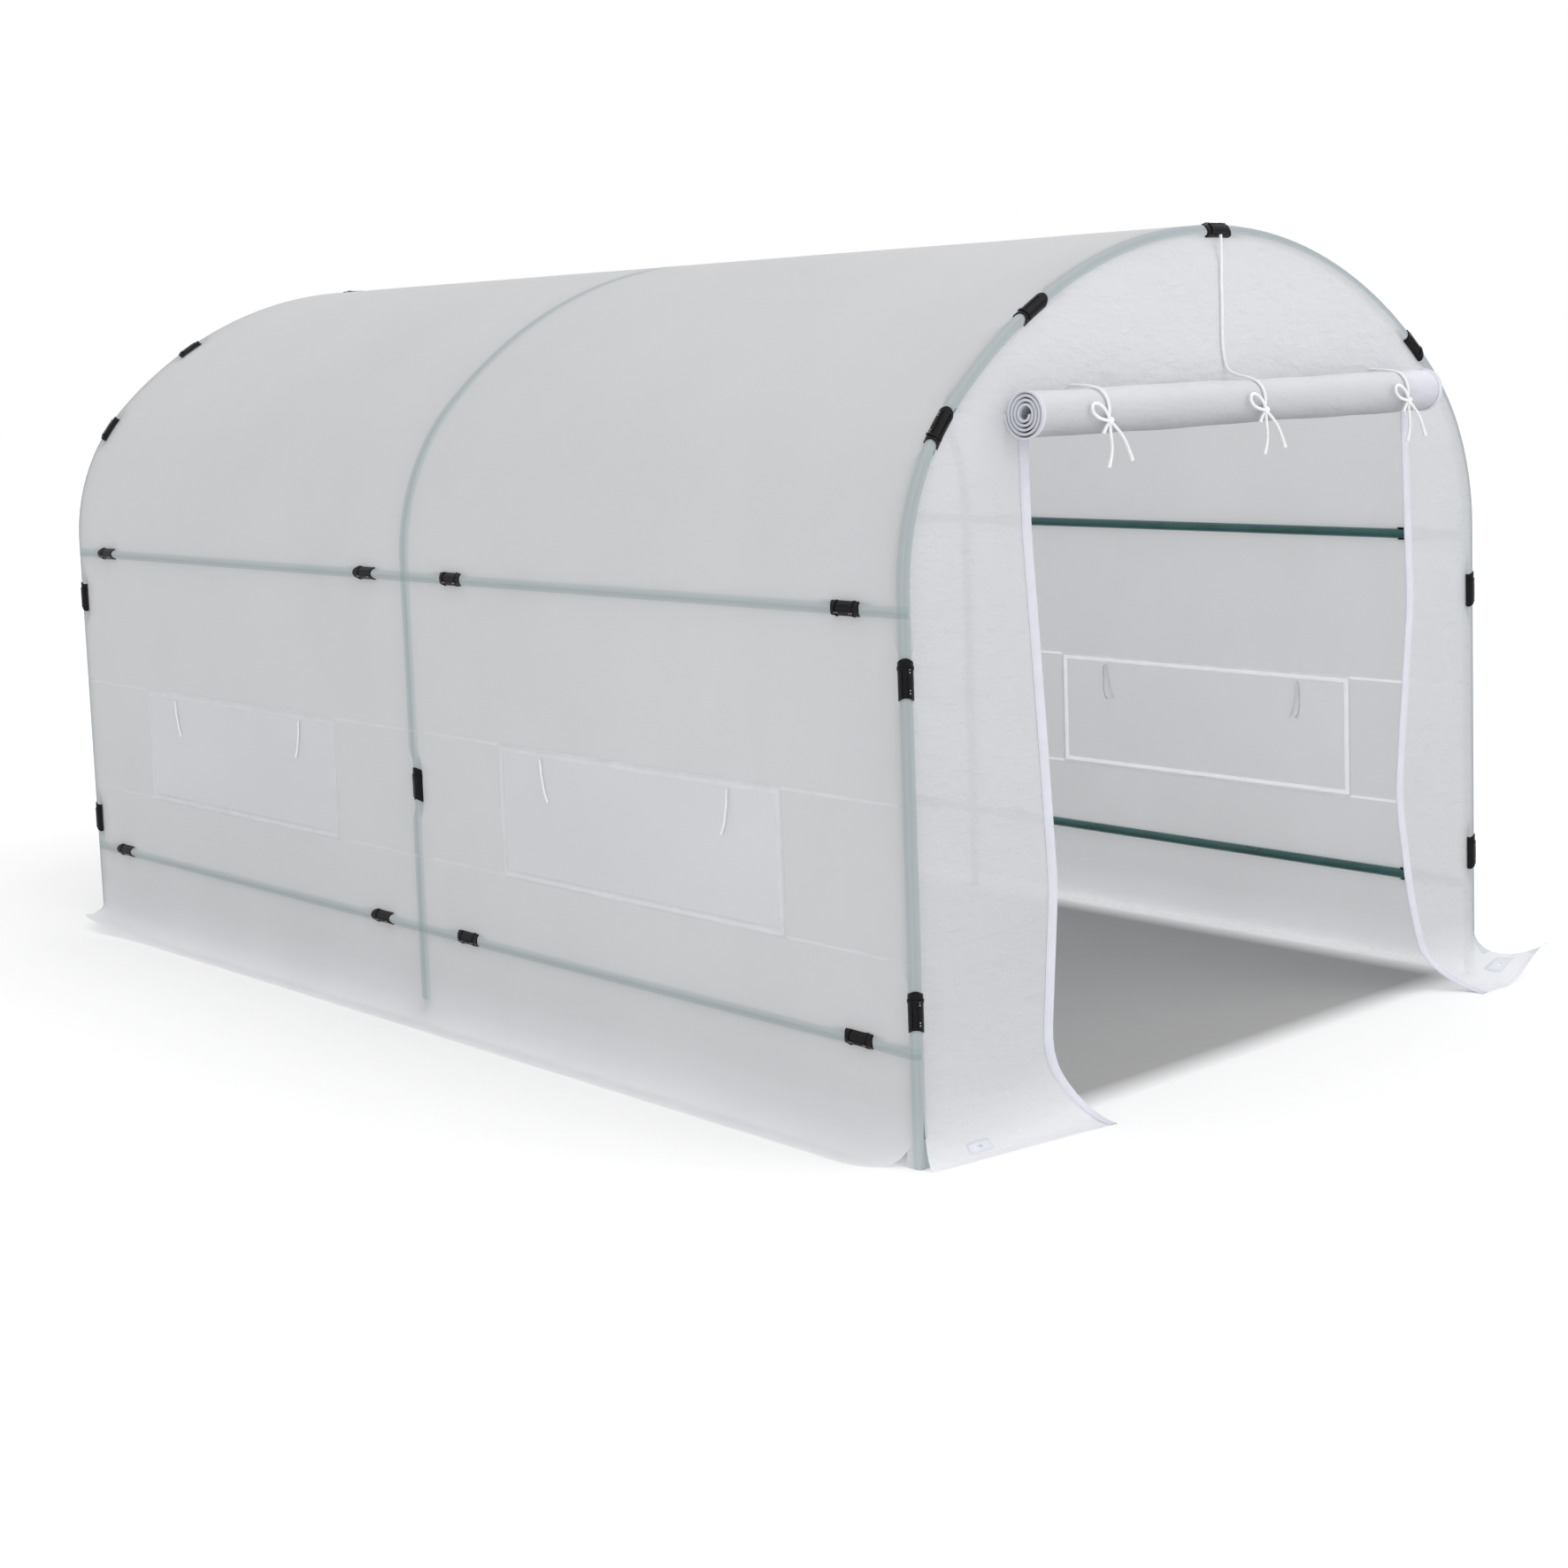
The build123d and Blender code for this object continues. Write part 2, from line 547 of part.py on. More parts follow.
def cord(name, points, diameter):
    """Cord along straight runs joined by tangent arcs."""
    radii = cord_radii(points)
    path = FilletPolyline(*points, radius=radii)
    start = Plane(origin=points[0], z_dir=Vector(*points[1]) - Vector(*points[0]))
    tube = sweep(start * Circle(diameter / 2), path=path)
    share = tube.volume / (math.pi * diameter**2 / 4 * path.length)
    print(f"{name}: length {path.length:.0f}, least radius {min(radii):.1f}, volume share {share:.4f}")
    return tube


def on_roll(x, across, up, lift=0.0):
    """Point before the roll, or hanging below it, at a height above the knot."""
    off = CORD_OFF_ROLL + lift
    height = up - KNOT_BELOW_AXIS
    angle = max(math.asin(max(height / off, -1)), -math.radians(HANG_ANGLE))
    return (x + across, BEARING_Y - off * math.cos(angle), ROLL_Z + height)


def over_roll(x, rise):
    """Corners of a tight cord from a height on the gable over the roll and down to the knot."""
    back = CORD_Y - BEARING_Y
    first = math.atan2(rise, -back) - math.acos(CORD_OFF_ROLL / math.hypot(back, rise))
    last = -math.asin(KNOT_BELOW_AXIS / CORD_OFF_ROLL)
    corners = 3
    step = (first - last) / corners
    reach = CORD_OFF_ROLL / math.cos(step / 2)
    points = [(x, CORD_Y, ROLL_Z + rise)]
    for count in range(corners):
        angle = first - (count + 0.5) * step
        points.append((x, BEARING_Y - reach * math.cos(angle), ROLL_Z + reach * math.sin(angle)))
    return points + [on_roll(x, 0, 0)]


def long_cord(x):
    """Route from under the clip at the top of the front hoop down the gable and over the roll."""
    return [(across, CORD_Y, APEX_Z - fall) for across, fall in LONG_CORD] + over_roll(x, LONG_CORD_RISE)


def door_tie(name, x, strand):
    """Cord round the roll, its knot, and the loop, stub and two tails of its bow."""
    knot = on_roll(x, 0, 0, KNOT_LIFT)
    piece = Pos(*knot) * Sphere(KNOT_SIZE / 2) + cord(f"{name} strand", strand, DOOR_CORD)
    for label, route in BOW.items():
        points = [on_roll(x, across, up, KNOT_LIFT) for across, up in route]
        piece += cord(f"{name} {label}", points, DOOR_CORD)
    return piece


def window_tie(y, end, route, layer):
    """Tie that hangs from a window's top hem on the right wall, near its front (end -1) or its back (end 1)."""
    top = WINDOW_TOP_Z - WINDOW_HEM - EDGE_CLEARANCE
    inset = WINDOW_WIDTH / 2 - WINDOW_TIE_INSET
    return [(HALF_SPAN + layer, y + end * (inset - across), top - down) for across, down in route]


def window_ties(side):
    """Both strands of both ties of each window of one side, outside the flap and inside the net."""
    outside = FILM_OUT + FILM_CLEARANCE + FILM + CORD_GAP + WINDOW_CORD / 2
    inside = FILM_IN - CORD_GAP - WINDOW_CORD / 2
    strands = []
    for bay in (-1, 1):
        for end in (-1, 1):
            for route, layer in ((WINDOW_TIE_OUTSIDE, outside), (WINDOW_TIE_INSIDE, inside)):
                points = window_tie(bay * HOOP_SPACING / 2, end, route, layer)
                strands.append(cord(f"{side} window tie", points, WINDOW_CORD))
    return strands


def write_openings():
    write("window_nets", four_windows(window_pane(FILM_IN, EDGE_CLEARANCE, FILM)))
    write("window_flaps", four_windows(window_flap()))
    write("door_hems", both_sides(door_hem()))
    write("door_roll", door_roll())


def write_cords():
    for name, x in zip(("left", "middle", "right"), DOOR_TIE_XS):
        strand = long_cord(x) if name == "middle" else over_roll(x, TIE_ANCHOR_RISE)
        write(f"door_tie_{name}", door_tie(f"door tie {name}", x, strand))
    right = window_ties("right")
    write("right_window_ties", right)
    write("left_window_ties", [strand.mirror(Plane.YZ) for strand in right])


def main():
    os.makedirs("parts", exist_ok=True)
    write_frame()
    groups = clip_groups()
    for name, clips in groups.items():
        write(f"{name}_clips", [clip for clip, _ in clips])
    write_cover([room for clips in groups.values() for _, room in clips])
    write_openings()
    write_cords()


main()
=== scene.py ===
import math
import bpy
import numpy as np
from mathutils import Matrix, Vector


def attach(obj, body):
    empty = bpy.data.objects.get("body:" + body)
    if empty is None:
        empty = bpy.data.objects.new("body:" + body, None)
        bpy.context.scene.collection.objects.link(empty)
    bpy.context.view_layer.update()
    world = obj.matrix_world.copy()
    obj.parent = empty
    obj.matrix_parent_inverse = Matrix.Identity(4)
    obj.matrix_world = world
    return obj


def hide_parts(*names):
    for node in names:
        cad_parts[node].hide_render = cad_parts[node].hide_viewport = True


# A walk-in garden tunnel: milky film clipped over a dark green tube frame. Metres, Z up, doorway towards -Y.

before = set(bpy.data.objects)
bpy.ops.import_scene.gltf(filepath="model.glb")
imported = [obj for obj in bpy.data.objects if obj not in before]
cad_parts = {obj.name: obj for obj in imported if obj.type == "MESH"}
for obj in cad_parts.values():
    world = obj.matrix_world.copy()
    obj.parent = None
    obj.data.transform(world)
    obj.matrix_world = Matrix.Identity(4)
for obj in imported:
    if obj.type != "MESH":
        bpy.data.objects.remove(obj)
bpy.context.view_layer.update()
HANDS = {-1: "left", 1: "right"}
ENDS = {-1: "front", 1: "back"}

# Frame, as built
HALF_SPAN = 1.01
HOOP_Y = 1.74
UPPER_RAIL_Z = 1.135
LOWER_RAIL_Z = 0.24
APEX_Z = 1.89
SPRING_Z = 1.165
HAUNCH_RADIUS = 0.53

# Film
FILM_OFF = 0.0134
SIDE_BEND = 0.055
SIDE_FLAT = 0.018
SIDE_CORNER = 0.075
END_BEND = 0.09
END_FLAT = 0.04
END_CORNER = 0.028
CORNER_SLIT = 0.03
SIDE_SLIT = 0.058
NOTCH_Z = 0.062
SKIRT_TOP_Z = 0.15
FLOOR_GAP = 0.0006
FLOOR_LIFT = 0.0008

# Doorway: the film's edge on each side of it as (height, place across), and how far the skirt reaches forward
# and sideways at the edge and at the post
DOOR_EDGES = {
    -1: ((0.0, -0.529), (0.156, -0.62), (0.514, -0.588), (0.9, -0.615), (1.27, -0.644), (1.53, -0.649)),
    1: ((0.0, 0.87), (0.1, 0.765), (0.267, 0.711), (0.519, 0.665), (0.995, 0.721), (1.53, 0.697)),
}
SKIRT_REACH = {-1: (0.099, 0.032), 1: (0.115, 0.14)}
SKIRT_SWEEP = {-1: -0.01, 1: 0.15}
SKIRT_LIFT = {-1: 0.0, 1: 0.085}
DOOR_HEM = 0.028
# Section of its hem: from the inner edge (1) or the film's edge (0), how far on, and how far off the film
HEM_FOLD = ((1, 0, 0.0008), (1, -0.001, 0.0022), (0, 0.002, 0.0024), (0, -0.0012, 0.001),
            (0, -0.0012, -0.0008), (0, 0.002, -0.002), (1, -0.001, -0.0016), (1, 0, -0.0008))
EYELET_X = 0.895
EYELET_FROM_EDGE = 0.062
EYELET_PATCH = (0.064, 0.034)
EYELET_HOLE = 0.005
EYELET_OFF = 0.0005
EYELET_LEVEL = 1.8
EYELET_SIDES = 48
DOOR_EDGE_BY_EYELET = 0.62
# Rings of a patch: share of the way from the hole to its rim, and height
EYELET_RINGS = ((0.0, 0.0), (0.0, 0.0022), (0.12, 0.0026), (0.4, 0.0016), (0.97, 0.0016), (1.0, 0.0))

# Rolled-up door
ROLL_Z = 1.514
ROLL_Y = -1.8083
ROLL_HALF = 0.717
ROLL_RADIUS = 0.05115
ROLL_STEP = 0.0045
ROLL_HALF_TURNS = 9
ROLL_LILAC_FROM = 0.585
# Unevenness of the roll: size, waves along and around it, and where they start
ROLL_SWELLS = ((0.0011, 9, 2, 0.6), (0.0007, 23, -3, 0.0))
ROLL_SHRINK = 0.0008

# Windows
WINDOW_WIDTH = 1.0
WINDOW_BOTTOM_Z = 0.426
WINDOW_TOP_Z = 0.745
WINDOW_HEM = 0.015
SEAM_WIDTH = 0.007

# Cords, in millimetres as they were set out: across the roll and up from the middle of the knot
DOOR_TIE_XS = {"left": -515, "middle": 15, "right": 569}
BOW = {
    "loop": ((-4, 0), (-24, 3), (-44, 9), (-62, 22), (-56, 38), (-38, 37), (-20, 24), (-4, 5),
             (-2, -4), (-11, -13), (-18, -26)),
    "tail": ((1, -5), (4, -28), (8, -51), (6, -75), (-4, -97)),
    "side_tail": ((4, -3), (25, -17), (45, -36), (60, -60), (72, -86)),
}
LONG_CORD = ((0, 9), (1, 58), (-1, 112), (1, 168), (-1, 224), (2, 272))
WINDOW_TIES = {
    "outside": (18.6, ((0, 0), (4, 16), (3, 32), (9, 56), (14, 82), (25, 100))),
    "inside": (9.7, ((-4, 3), (-11, 20), (-8, 42), (-9, 68), (-7, 88), (2, 101))),
}
DOOR_CORD = 0.007
WINDOW_CORD = 0.005
KNOT_BELOW_AXIS = 22
KNOT_LIFT = 6.5
KNOT_RADIUS = 0.0095
KNOT_CORD_RADIUS = 0.0034
KNOT_SIDES = 10
FRAY = 1.3
WINDOW_TIE_TOP = 724.7
WINDOW_TIE_APART = 335
CORD_OFF_ROLL = 51.35
CORD_Y = -1758.1
BEARING_Y = -1810.55
TIE_ANCHOR_RISE = 52
LONG_CORD_RISE = 61
HANG_ANGLE = 30

# Clips
CLIP_HALF = 0.045
RAIL_CLIP_FROM_END = 0.16
RAIL_CLIP_FROM_MIDDLE = 0.19
END_LEG_CLIP_ZS = (0.325, 1.0)
MIDDLE_LEG_CLIP_Z = 0.607
HAUNCH_CLIP_ANGLE = 38.4
UPPER_CLIP_LEAN = 30.2
RIGHT_CLIP_LEAN = 39.0
# How far round from the middle of a clip its studs are, in degrees
RAIL_STUDS, POST_STUDS, ARCH_STUDS, MIDDLE_STUDS = 28, 30, 45, 60

# What follows from the sizes above
HAUNCH_X = HALF_SPAN - HAUNCH_RADIUS
ARCH_RISE = APEX_Z - SPRING_Z
CROWN_RADIUS = (HAUNCH_X**2 + ARCH_RISE**2 - HAUNCH_RADIUS**2) / (2 * (ARCH_RISE - HAUNCH_RADIUS))
CROWN_Z = APEX_Z - CROWN_RADIUS
JOINT_ANGLE = math.atan2(SPRING_Z - CROWN_Z, HAUNCH_X)
RAIL_CLIP_YS = (RAIL_CLIP_FROM_MIDDLE, HOOP_Y - RAIL_CLIP_FROM_END)


# Camera at the photograph's place, looking along the left side

IMAGE = 1772
SENSOR = 36.0
CAMERA_AT = (-4.4523, -5.1767, 1.6493)
YAW, PITCH, ROLL_OF_VIEW = (math.radians(a) for a in (42.244, -6.289, -2.049))
FOCAL_PIXELS = 2788.0
CENTRE_ROW = 709


def add_camera():
    forward = Vector((math.sin(YAW) * math.cos(PITCH), math.cos(YAW) * math.cos(PITCH), math.sin(PITCH)))
    level = Vector((math.cos(YAW), -math.sin(YAW), 0))
    up = level.cross(forward)
    cosine, sine = math.cos(ROLL_OF_VIEW), math.sin(ROLL_OF_VIEW)
    right, up = cosine * level + sine * up, -sine * level + cosine * up
    data = bpy.data.cameras.new("camera")
    data.sensor_width = SENSOR
    data.lens = FOCAL_PIXELS / IMAGE * SENSOR
    data.shift_y = (CENTRE_ROW - IMAGE / 2) / IMAGE
    camera = bpy.data.objects.new("camera", data)
    turn = Matrix((right, up, -forward)).transposed()
    camera.matrix_world = Matrix.Translation(CAMERA_AT) @ turn.to_4x4()
    bpy.context.scene.collection.objects.link(camera)
    bpy.context.scene.camera = camera


# Materials

def new_material(name):
    material = bpy.data.materials.new(name)
    material.use_nodes = True
    tree = material.node_tree
    tree.nodes.clear()
    return material, tree


def node(tree, kind, **values):
    """A node with its properties and unlinked sockets set; a socket's value is given by its name."""
    made = tree.nodes.new(kind)
    for name, value in values.items():
        if hasattr(made, name):
            setattr(made, name, value)
        else:
            made.inputs[name.replace("_", " ")].default_value = value
    return made


def link(tree, start, end):
    tree.links.new(start, end)


def on_surface(tree):
    """Place on the object, which a grain, wear or braid follows."""
    return tree.nodes.new("ShaderNodeTexCoord").outputs["Object"]


def blended(tree, share, first, second):
    """A mix of two shaders, with the share of the second."""
    made = node(tree, "ShaderNodeMixShader", Fac=share)
    for socket, shader in zip(made.inputs[1:], (first, second)):
        link(tree, shader.outputs[0], socket)
    return made


def principled(tree, tint, normal=None, rough=None, **values):
    """Principled shader with its colour, and its normal and roughness where they vary."""
    made = node(tree, "ShaderNodeBsdfPrincipled", **values)
    for name, value in (("Base Color", tint), ("Normal", normal), ("Roughness", rough)):
        if value:
            link(tree, value, made.inputs[name])
    return made


def translucent(tree, tint):
    made = tree.nodes.new("ShaderNodeBsdfTranslucent")
    link(tree, tint, made.inputs["Color"])
    return made


def noise(tree, vector, scale, detail=2.0, roughness=0.5):
    made = node(tree, "ShaderNodeTexNoise", Scale=scale, Detail=detail, Roughness=roughness)
    link(tree, vector, made.inputs["Vector"])
    return made.outputs["Fac"]


def stretched(tree, vector, scale):
    made = node(tree, "ShaderNodeMapping", Scale=scale)
    link(tree, vector, made.inputs["Vector"])
    return made.outputs["Vector"]


def math_node(tree, operation, first, second):
    made = node(tree, "ShaderNodeMath", operation=operation)
    for socket, value in zip(made.inputs, (first, second)):
        if isinstance(value, float):
            socket.default_value = value
        else:
            link(tree, value, socket)
    return made.outputs[0]


def ramp(tree, value, stops):
    """Colour ramp of (position, colour) stops."""
    made = tree.nodes.new("ShaderNodeValToRGB")
    elements = made.color_ramp.elements
    for element, (place, colour) in zip(elements, stops[:2]):
        element.position, element.color = place, (*colour, 1)
    for place, colour in stops[2:]:
        elements.new(place).color = (*colour, 1)
    link(tree, value, made.inputs["Fac"])
    return made.outputs["Color"]


def bump(tree, height, distance, strength=1.0, after=None):
    made = node(tree, "ShaderNodeBump", Distance=distance, Strength=strength)
    link(tree, height, made.inputs["Height"])
    if after:
        link(tree, after, made.inputs["Normal"])
    return made.outputs["Normal"]


def output(tree, shader):
    link(tree, shader.outputs[0], tree.nodes.new("ShaderNodeOutputMaterial").inputs["Surface"])


def weave(tree, vector, pitch):
    """Height of a fine plain weave: two crossed waves."""
    heights = []
    for axis in ("X", "Y"):
        wave = node(tree, "ShaderNodeTexWave", bands_direction=axis, Scale=math.pi / (10 * pitch))
        link(tree, vector, wave.inputs["Vector"])
        heights.append(wave.outputs["Fac"])
    return math_node(tree, "MULTIPLY", *heights)


def split(tree, name):
    """The three parts of a vector kept on a mesh's points."""
    kept = node(tree, "ShaderNodeAttribute", attribute_name=name)
    parts = tree.nodes.new("ShaderNodeSeparateXYZ")
    link(tree, kept.outputs["Vector"], parts.inputs[0])
    return parts.outputs


def ranged(tree, value, low, high, first=0.0, last=1.0):
    made = node(tree, "ShaderNodeMapRange", From_Min=low, From_Max=high, To_Min=first, To_Max=last)
    link(tree, value, made.inputs["Value"])
    return made.outputs[0]


def mixed(tree, share, first, second, blend="MIX"):
    made = node(tree, "ShaderNodeMixRGB", blend_type=blend)
    for socket, value in zip(made.inputs, (share, first, second)):
        if isinstance(value, float):
            socket.default_value = value
        elif isinstance(value, tuple):
            socket.default_value = (*value, 1)
        else:
            link(tree, value, socket)
    return made.outputs["Color"]


# Painted shade where film lies on a tube: half the band's width, how soft its edge is, and the colours of its painted
# lit half and its painted shaded half
BAND = 0.0122
BAND_EDGE = 0.0012
BAND_PAINTED_LIT = (0.88, 0.945, 0.955)
BAND_PAINTED_SHADED = (0.80, 0.87, 0.88)
LILAC = (0.80, 0.80, 0.88)


def film_material(name, colour, translucency, clear=0.0, crumple=0.35):
    """Milky woven film, lit from both sides; a tube it lies on shows as a crisp pale green band of painted shade, one
    half painted lighter and the other darker, and its colour is scaled by a painted light-and-shade factor.
    """
    material, tree = new_material(name)
    place = node(tree, "ShaderNodeUVMap", uv_map="metres").outputs["UV"]
    shade = noise(tree, stretched(tree, place, (1.0, 1.6, 1)), 1.7, 3.0)
    tint = ramp(tree, shade, [(0.3, tuple(c * 0.965 for c in colour)), (0.7, colour)])
    near, side = split(tree, "near"), split(tree, "side")
    tint = mixed(tree, side[2], tint, LILAC)
    # Painted shade bands along the hoops and rails, one half painted lighter and the other darker
    for distance, half in ((near[0], side[0]), (near[1], side[1])):
        band = ranged(tree, distance, BAND + BAND_EDGE, BAND - BAND_EDGE)
        over = mixed(tree, ranged(tree, half, -0.1, 0.1), BAND_PAINTED_LIT, BAND_PAINTED_SHADED)
        tint = mixed(tree, band, tint, over, "MULTIPLY")
    # Painted light and shade: the colour scaled by the factor kept in near's third part
    scaled = node(tree, "ShaderNodeVectorMath", operation="SCALE")
    link(tree, tint, scaled.inputs[0])
    link(tree, near[2], scaled.inputs["Scale"])
    tint = scaled.outputs[0]
    folds = noise(tree, stretched(tree, place, (2.4, 3.2, 1)), 3.0, 5.0, 0.6)
    creases = noise(tree, stretched(tree, place, (2.6, 7.0, 1)), 6.0, 4.0, 0.6)
    normal = bump(tree, folds, 0.004 * crumple)
    normal = bump(tree, creases, 0.0022 * crumple, after=normal)
    normal = bump(tree, weave(tree, place, 0.0016), 0.00004, after=normal)
    rough = ranged(tree, shade, 0.0, 1.0, 0.4, 0.56)
    milky = blended(tree, translucency, principled(tree, tint, normal, rough, Specular_IOR_Level=0.35),
                    translucent(tree, tint))
    gaps = node(tree, "ShaderNodeBsdfTransparent", Color=(0.95, 0.97, 0.97, 1))
    output(tree, blended(tree, clear, milky, gaps))
    return material


def hard_material(name, grain, stops, roughness, bump_scale, bump_detail, depth, **values):
    """Glossy hard surface with a little grain or wear in its colour and roughness."""
    material, tree = new_material(name)
    place = on_surface(tree)
    wear = noise(tree, place, *grain)
    rough = ranged(tree, wear, 0.0, 1.0, *roughness)
    normal = bump(tree, noise(tree, place, bump_scale, bump_detail), depth)
    output(tree, principled(tree, ramp(tree, wear, stops), normal, rough, **values))
    return material


def hem_material(name, colour, glow=0.25):
    """Close white edging, a little lilac, with a fine rib across it."""
    material, tree = new_material(name)
    place = on_surface(tree)
    shade = noise(tree, place, 22.0, 3.0)
    tint = ramp(tree, shade, [(0.3, tuple(c * 0.95 for c in colour)), (0.7, colour)])
    normal = bump(tree, noise(tree, place, 260.0, 3.0), 0.0003)
    cloth = principled(tree, tint, normal, Roughness=0.6, Specular_IOR_Level=0.3)
    output(tree, blended(tree, glow, cloth, translucent(tree, tint)))
    return material


def cord_material():
    """White braid."""
    material, tree = new_material("cord_braid")
    place = on_surface(tree)
    tint = ramp(tree, noise(tree, place, 120.0), [(0.3, (0.9, 0.9, 0.92)), (0.7, (0.97, 0.97, 0.98))])
    normal = bump(tree, noise(tree, place, 900.0), 0.0003)
    output(tree, principled(tree, tint, normal, Roughness=0.65, Specular_IOR_Level=0.3))
    return material


def stud_material():
    """Small polished studs on the clips."""
    material, tree = new_material("clip_stud")
    tint = ramp(tree, noise(tree, on_surface(tree), 300.0), [(0.3, (0.3, 0.3, 0.31)), (0.7, (0.45, 0.45, 0.46))])
    output(tree, principled(tree, tint, Metallic=0.7, Roughness=0.3))
    return material


def net_material():
    """Fine woven insect net."""
    material, tree = new_material("insect_net")
    threads = weave(tree, node(tree, "ShaderNodeUVMap", uv_map="metres").outputs["UV"], 0.0022)
    tint = ramp(tree, threads, [(0.2, (0.8, 0.81, 0.83)), (0.7, (0.9, 0.91, 0.92))])
    cloth = principled(tree, tint, bump(tree, threads, 0.0003), Roughness=0.7, Specular_IOR_Level=0.2)
    whole = blended(tree, 0.45, cloth, translucent(tree, tint))
    output(tree, blended(tree, 0.45, whole, tree.nodes.new("ShaderNodeBsdfTransparent")))
    return material


FILM = film_material("cover_film", (0.81, 0.815, 0.83), 0.38)
FRONT_FILM = film_material("front_film", (0.78, 0.785, 0.81), 0.3, 0.085, 2.4)
FLAP_FILM = film_material("flap_film", (0.88, 0.885, 0.90), 0.5, 0.0, 0.25)
ROLL_FILM = film_material("roll_film", (0.72, 0.73, 0.76), 0.12, 0.0, 2.4)
# Dark green enamel with rubbed patches, and black moulded plastic
TUBE = hard_material("tube_enamel", (9.0, 4.0), [(0.35, (0.006, 0.085, 0.078)), (0.72, (0.012, 0.125, 0.112))],
                     (0.22, 0.38), 420.0, 2.0, 0.00008, Specular_IOR_Level=0.55, Coat_Weight=0.6, Coat_Roughness=0.12)
CLIP = hard_material("clip_plastic", (160.0, 3.0), [(0.3, (0.004, 0.004, 0.005)), (0.75, (0.009, 0.009, 0.010))],
                     (0.2, 0.42), 700.0, 2.0, 0.00006, Specular_IOR_Level=0.13)
STUD = stud_material()
HEM = hem_material("hem_edging", (0.90, 0.91, 0.98))
NET = net_material()
SEAM = hem_material("weld_seam", (0.93, 0.93, 0.95), 0.55)
CORD = cord_material()


# Sheets of film

def add_mesh(name, vertices, faces, material, uvs=None, near=None, side=None, smooth=True):
    """A mesh with its flat places in metres. near is how far its points are from a hoop's and a rail's line, for the
    painted shade bands, and the painted light-and-shade factor on their colour; side is which side of those lines
    they are on, which picks a band's painted lit or painted shaded half, and their lilac share."""
    mesh = bpy.data.meshes.new(name)
    mesh.from_pydata([tuple(v) for v in vertices], [], [tuple(f) for f in faces])
    count = len(mesh.vertices)
    if uvs is not None:
        layer = mesh.uv_layers.new(name="metres")
        loops = np.empty(len(mesh.loops), int)
        mesh.loops.foreach_get("vertex_index", loops)
        layer.data.foreach_set("uv", np.asarray(uvs, float)[loops].ravel())
        near = np.tile((FAR, FAR, 1.0), (count, 1)) if near is None else near
        side = np.zeros((count, 3)) if side is None else side
        for title, values in (("near", near), ("side", side)):
            kept = mesh.attributes.new(title, "FLOAT_VECTOR", "POINT")
            kept.data.foreach_set("vector", np.asarray(values, float).ravel())
    mesh.materials.append(material)
    if smooth:
        mesh.shade_smooth()
    piece = bpy.data.objects.new(name, mesh)
    bpy.context.scene.collection.objects.link(piece)
    return piece


def grid_faces(rows, columns, first=0, keep=None):
    """Quads of a grid whose points are numbered along its rows."""
    faces = []
    for row in range(rows - 1):
        for column in range(columns - 1):
            if keep is None or keep(row, column):
                corner = first + row * columns + column
                faces.append((corner, corner + 1, corner + columns + 1, corner + columns))
    return faces


def ring_faces(rows, around, first=0):
    """Quads between rings of points, each ring closed."""
    faces = []
    for row in range(rows - 1):
        for step in range(around):
            a, b = first + row * around + step, first + row * around + (step + 1) % around
            faces.append((a, b, b + around, a + around))
    return faces


def only_used(faces, *arrays):
    """Faces and arrays of points without the points that no face has."""
    used = sorted({corner for face in faces for corner in face})
    number = {old: new for new, old in enumerate(used)}
    return [tuple(number[c] for c in face) for face in faces], *(np.asarray(a)[used] for a in arrays)


def dress(piece, slot, *nodes):
    """Fix a piece to the tunnel and hide the nodes it replaces; slot, the finish it stands for, is not used."""
    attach(piece, "root")
    if nodes:
        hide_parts(*nodes)
    return piece


def spaced(start, end, coarse, fine_zones=()):
    """Places from start to end: about coarse apart, and finer inside each (low, high, step) zone."""
    places = [start]
    while places[-1] < end - 1e-9:
        at = places[-1]
        step = coarse
        for low, high, fine in fine_zones:
            if low - 1e-9 <= at < high - 1e-9:
                step = min(step, fine)
            elif at < low:
                step = min(step, max(low - at, 1e-4))
        for low, high, fine in fine_zones:
            if at < high < at + step:
                step = high - at
        places.append(min(at + step, end))
    if len(places) > 2 and places[-1] - places[-2] < 1e-4:
        places.pop(-2)
    return np.array(places)


FAR = 0.05
CROWN_LENGTH = (CROWN_RADIUS + FILM_OFF) * (math.pi / 2 - JOINT_ANGLE)
HAUNCH_LENGTH = (HAUNCH_RADIUS + FILM_OFF) * JOINT_ANGLE
EAVE = CROWN_LENGTH + HAUNCH_LENGTH
BEND_START = EAVE + SPRING_Z - SIDE_BEND
BEND_LENGTH = SIDE_BEND * math.pi / 2
HALF_SECTION = BEND_START + BEND_LENGTH + SIDE_FLAT
WRAP = FILM_OFF * math.pi / 2
TONGUE = 0.024


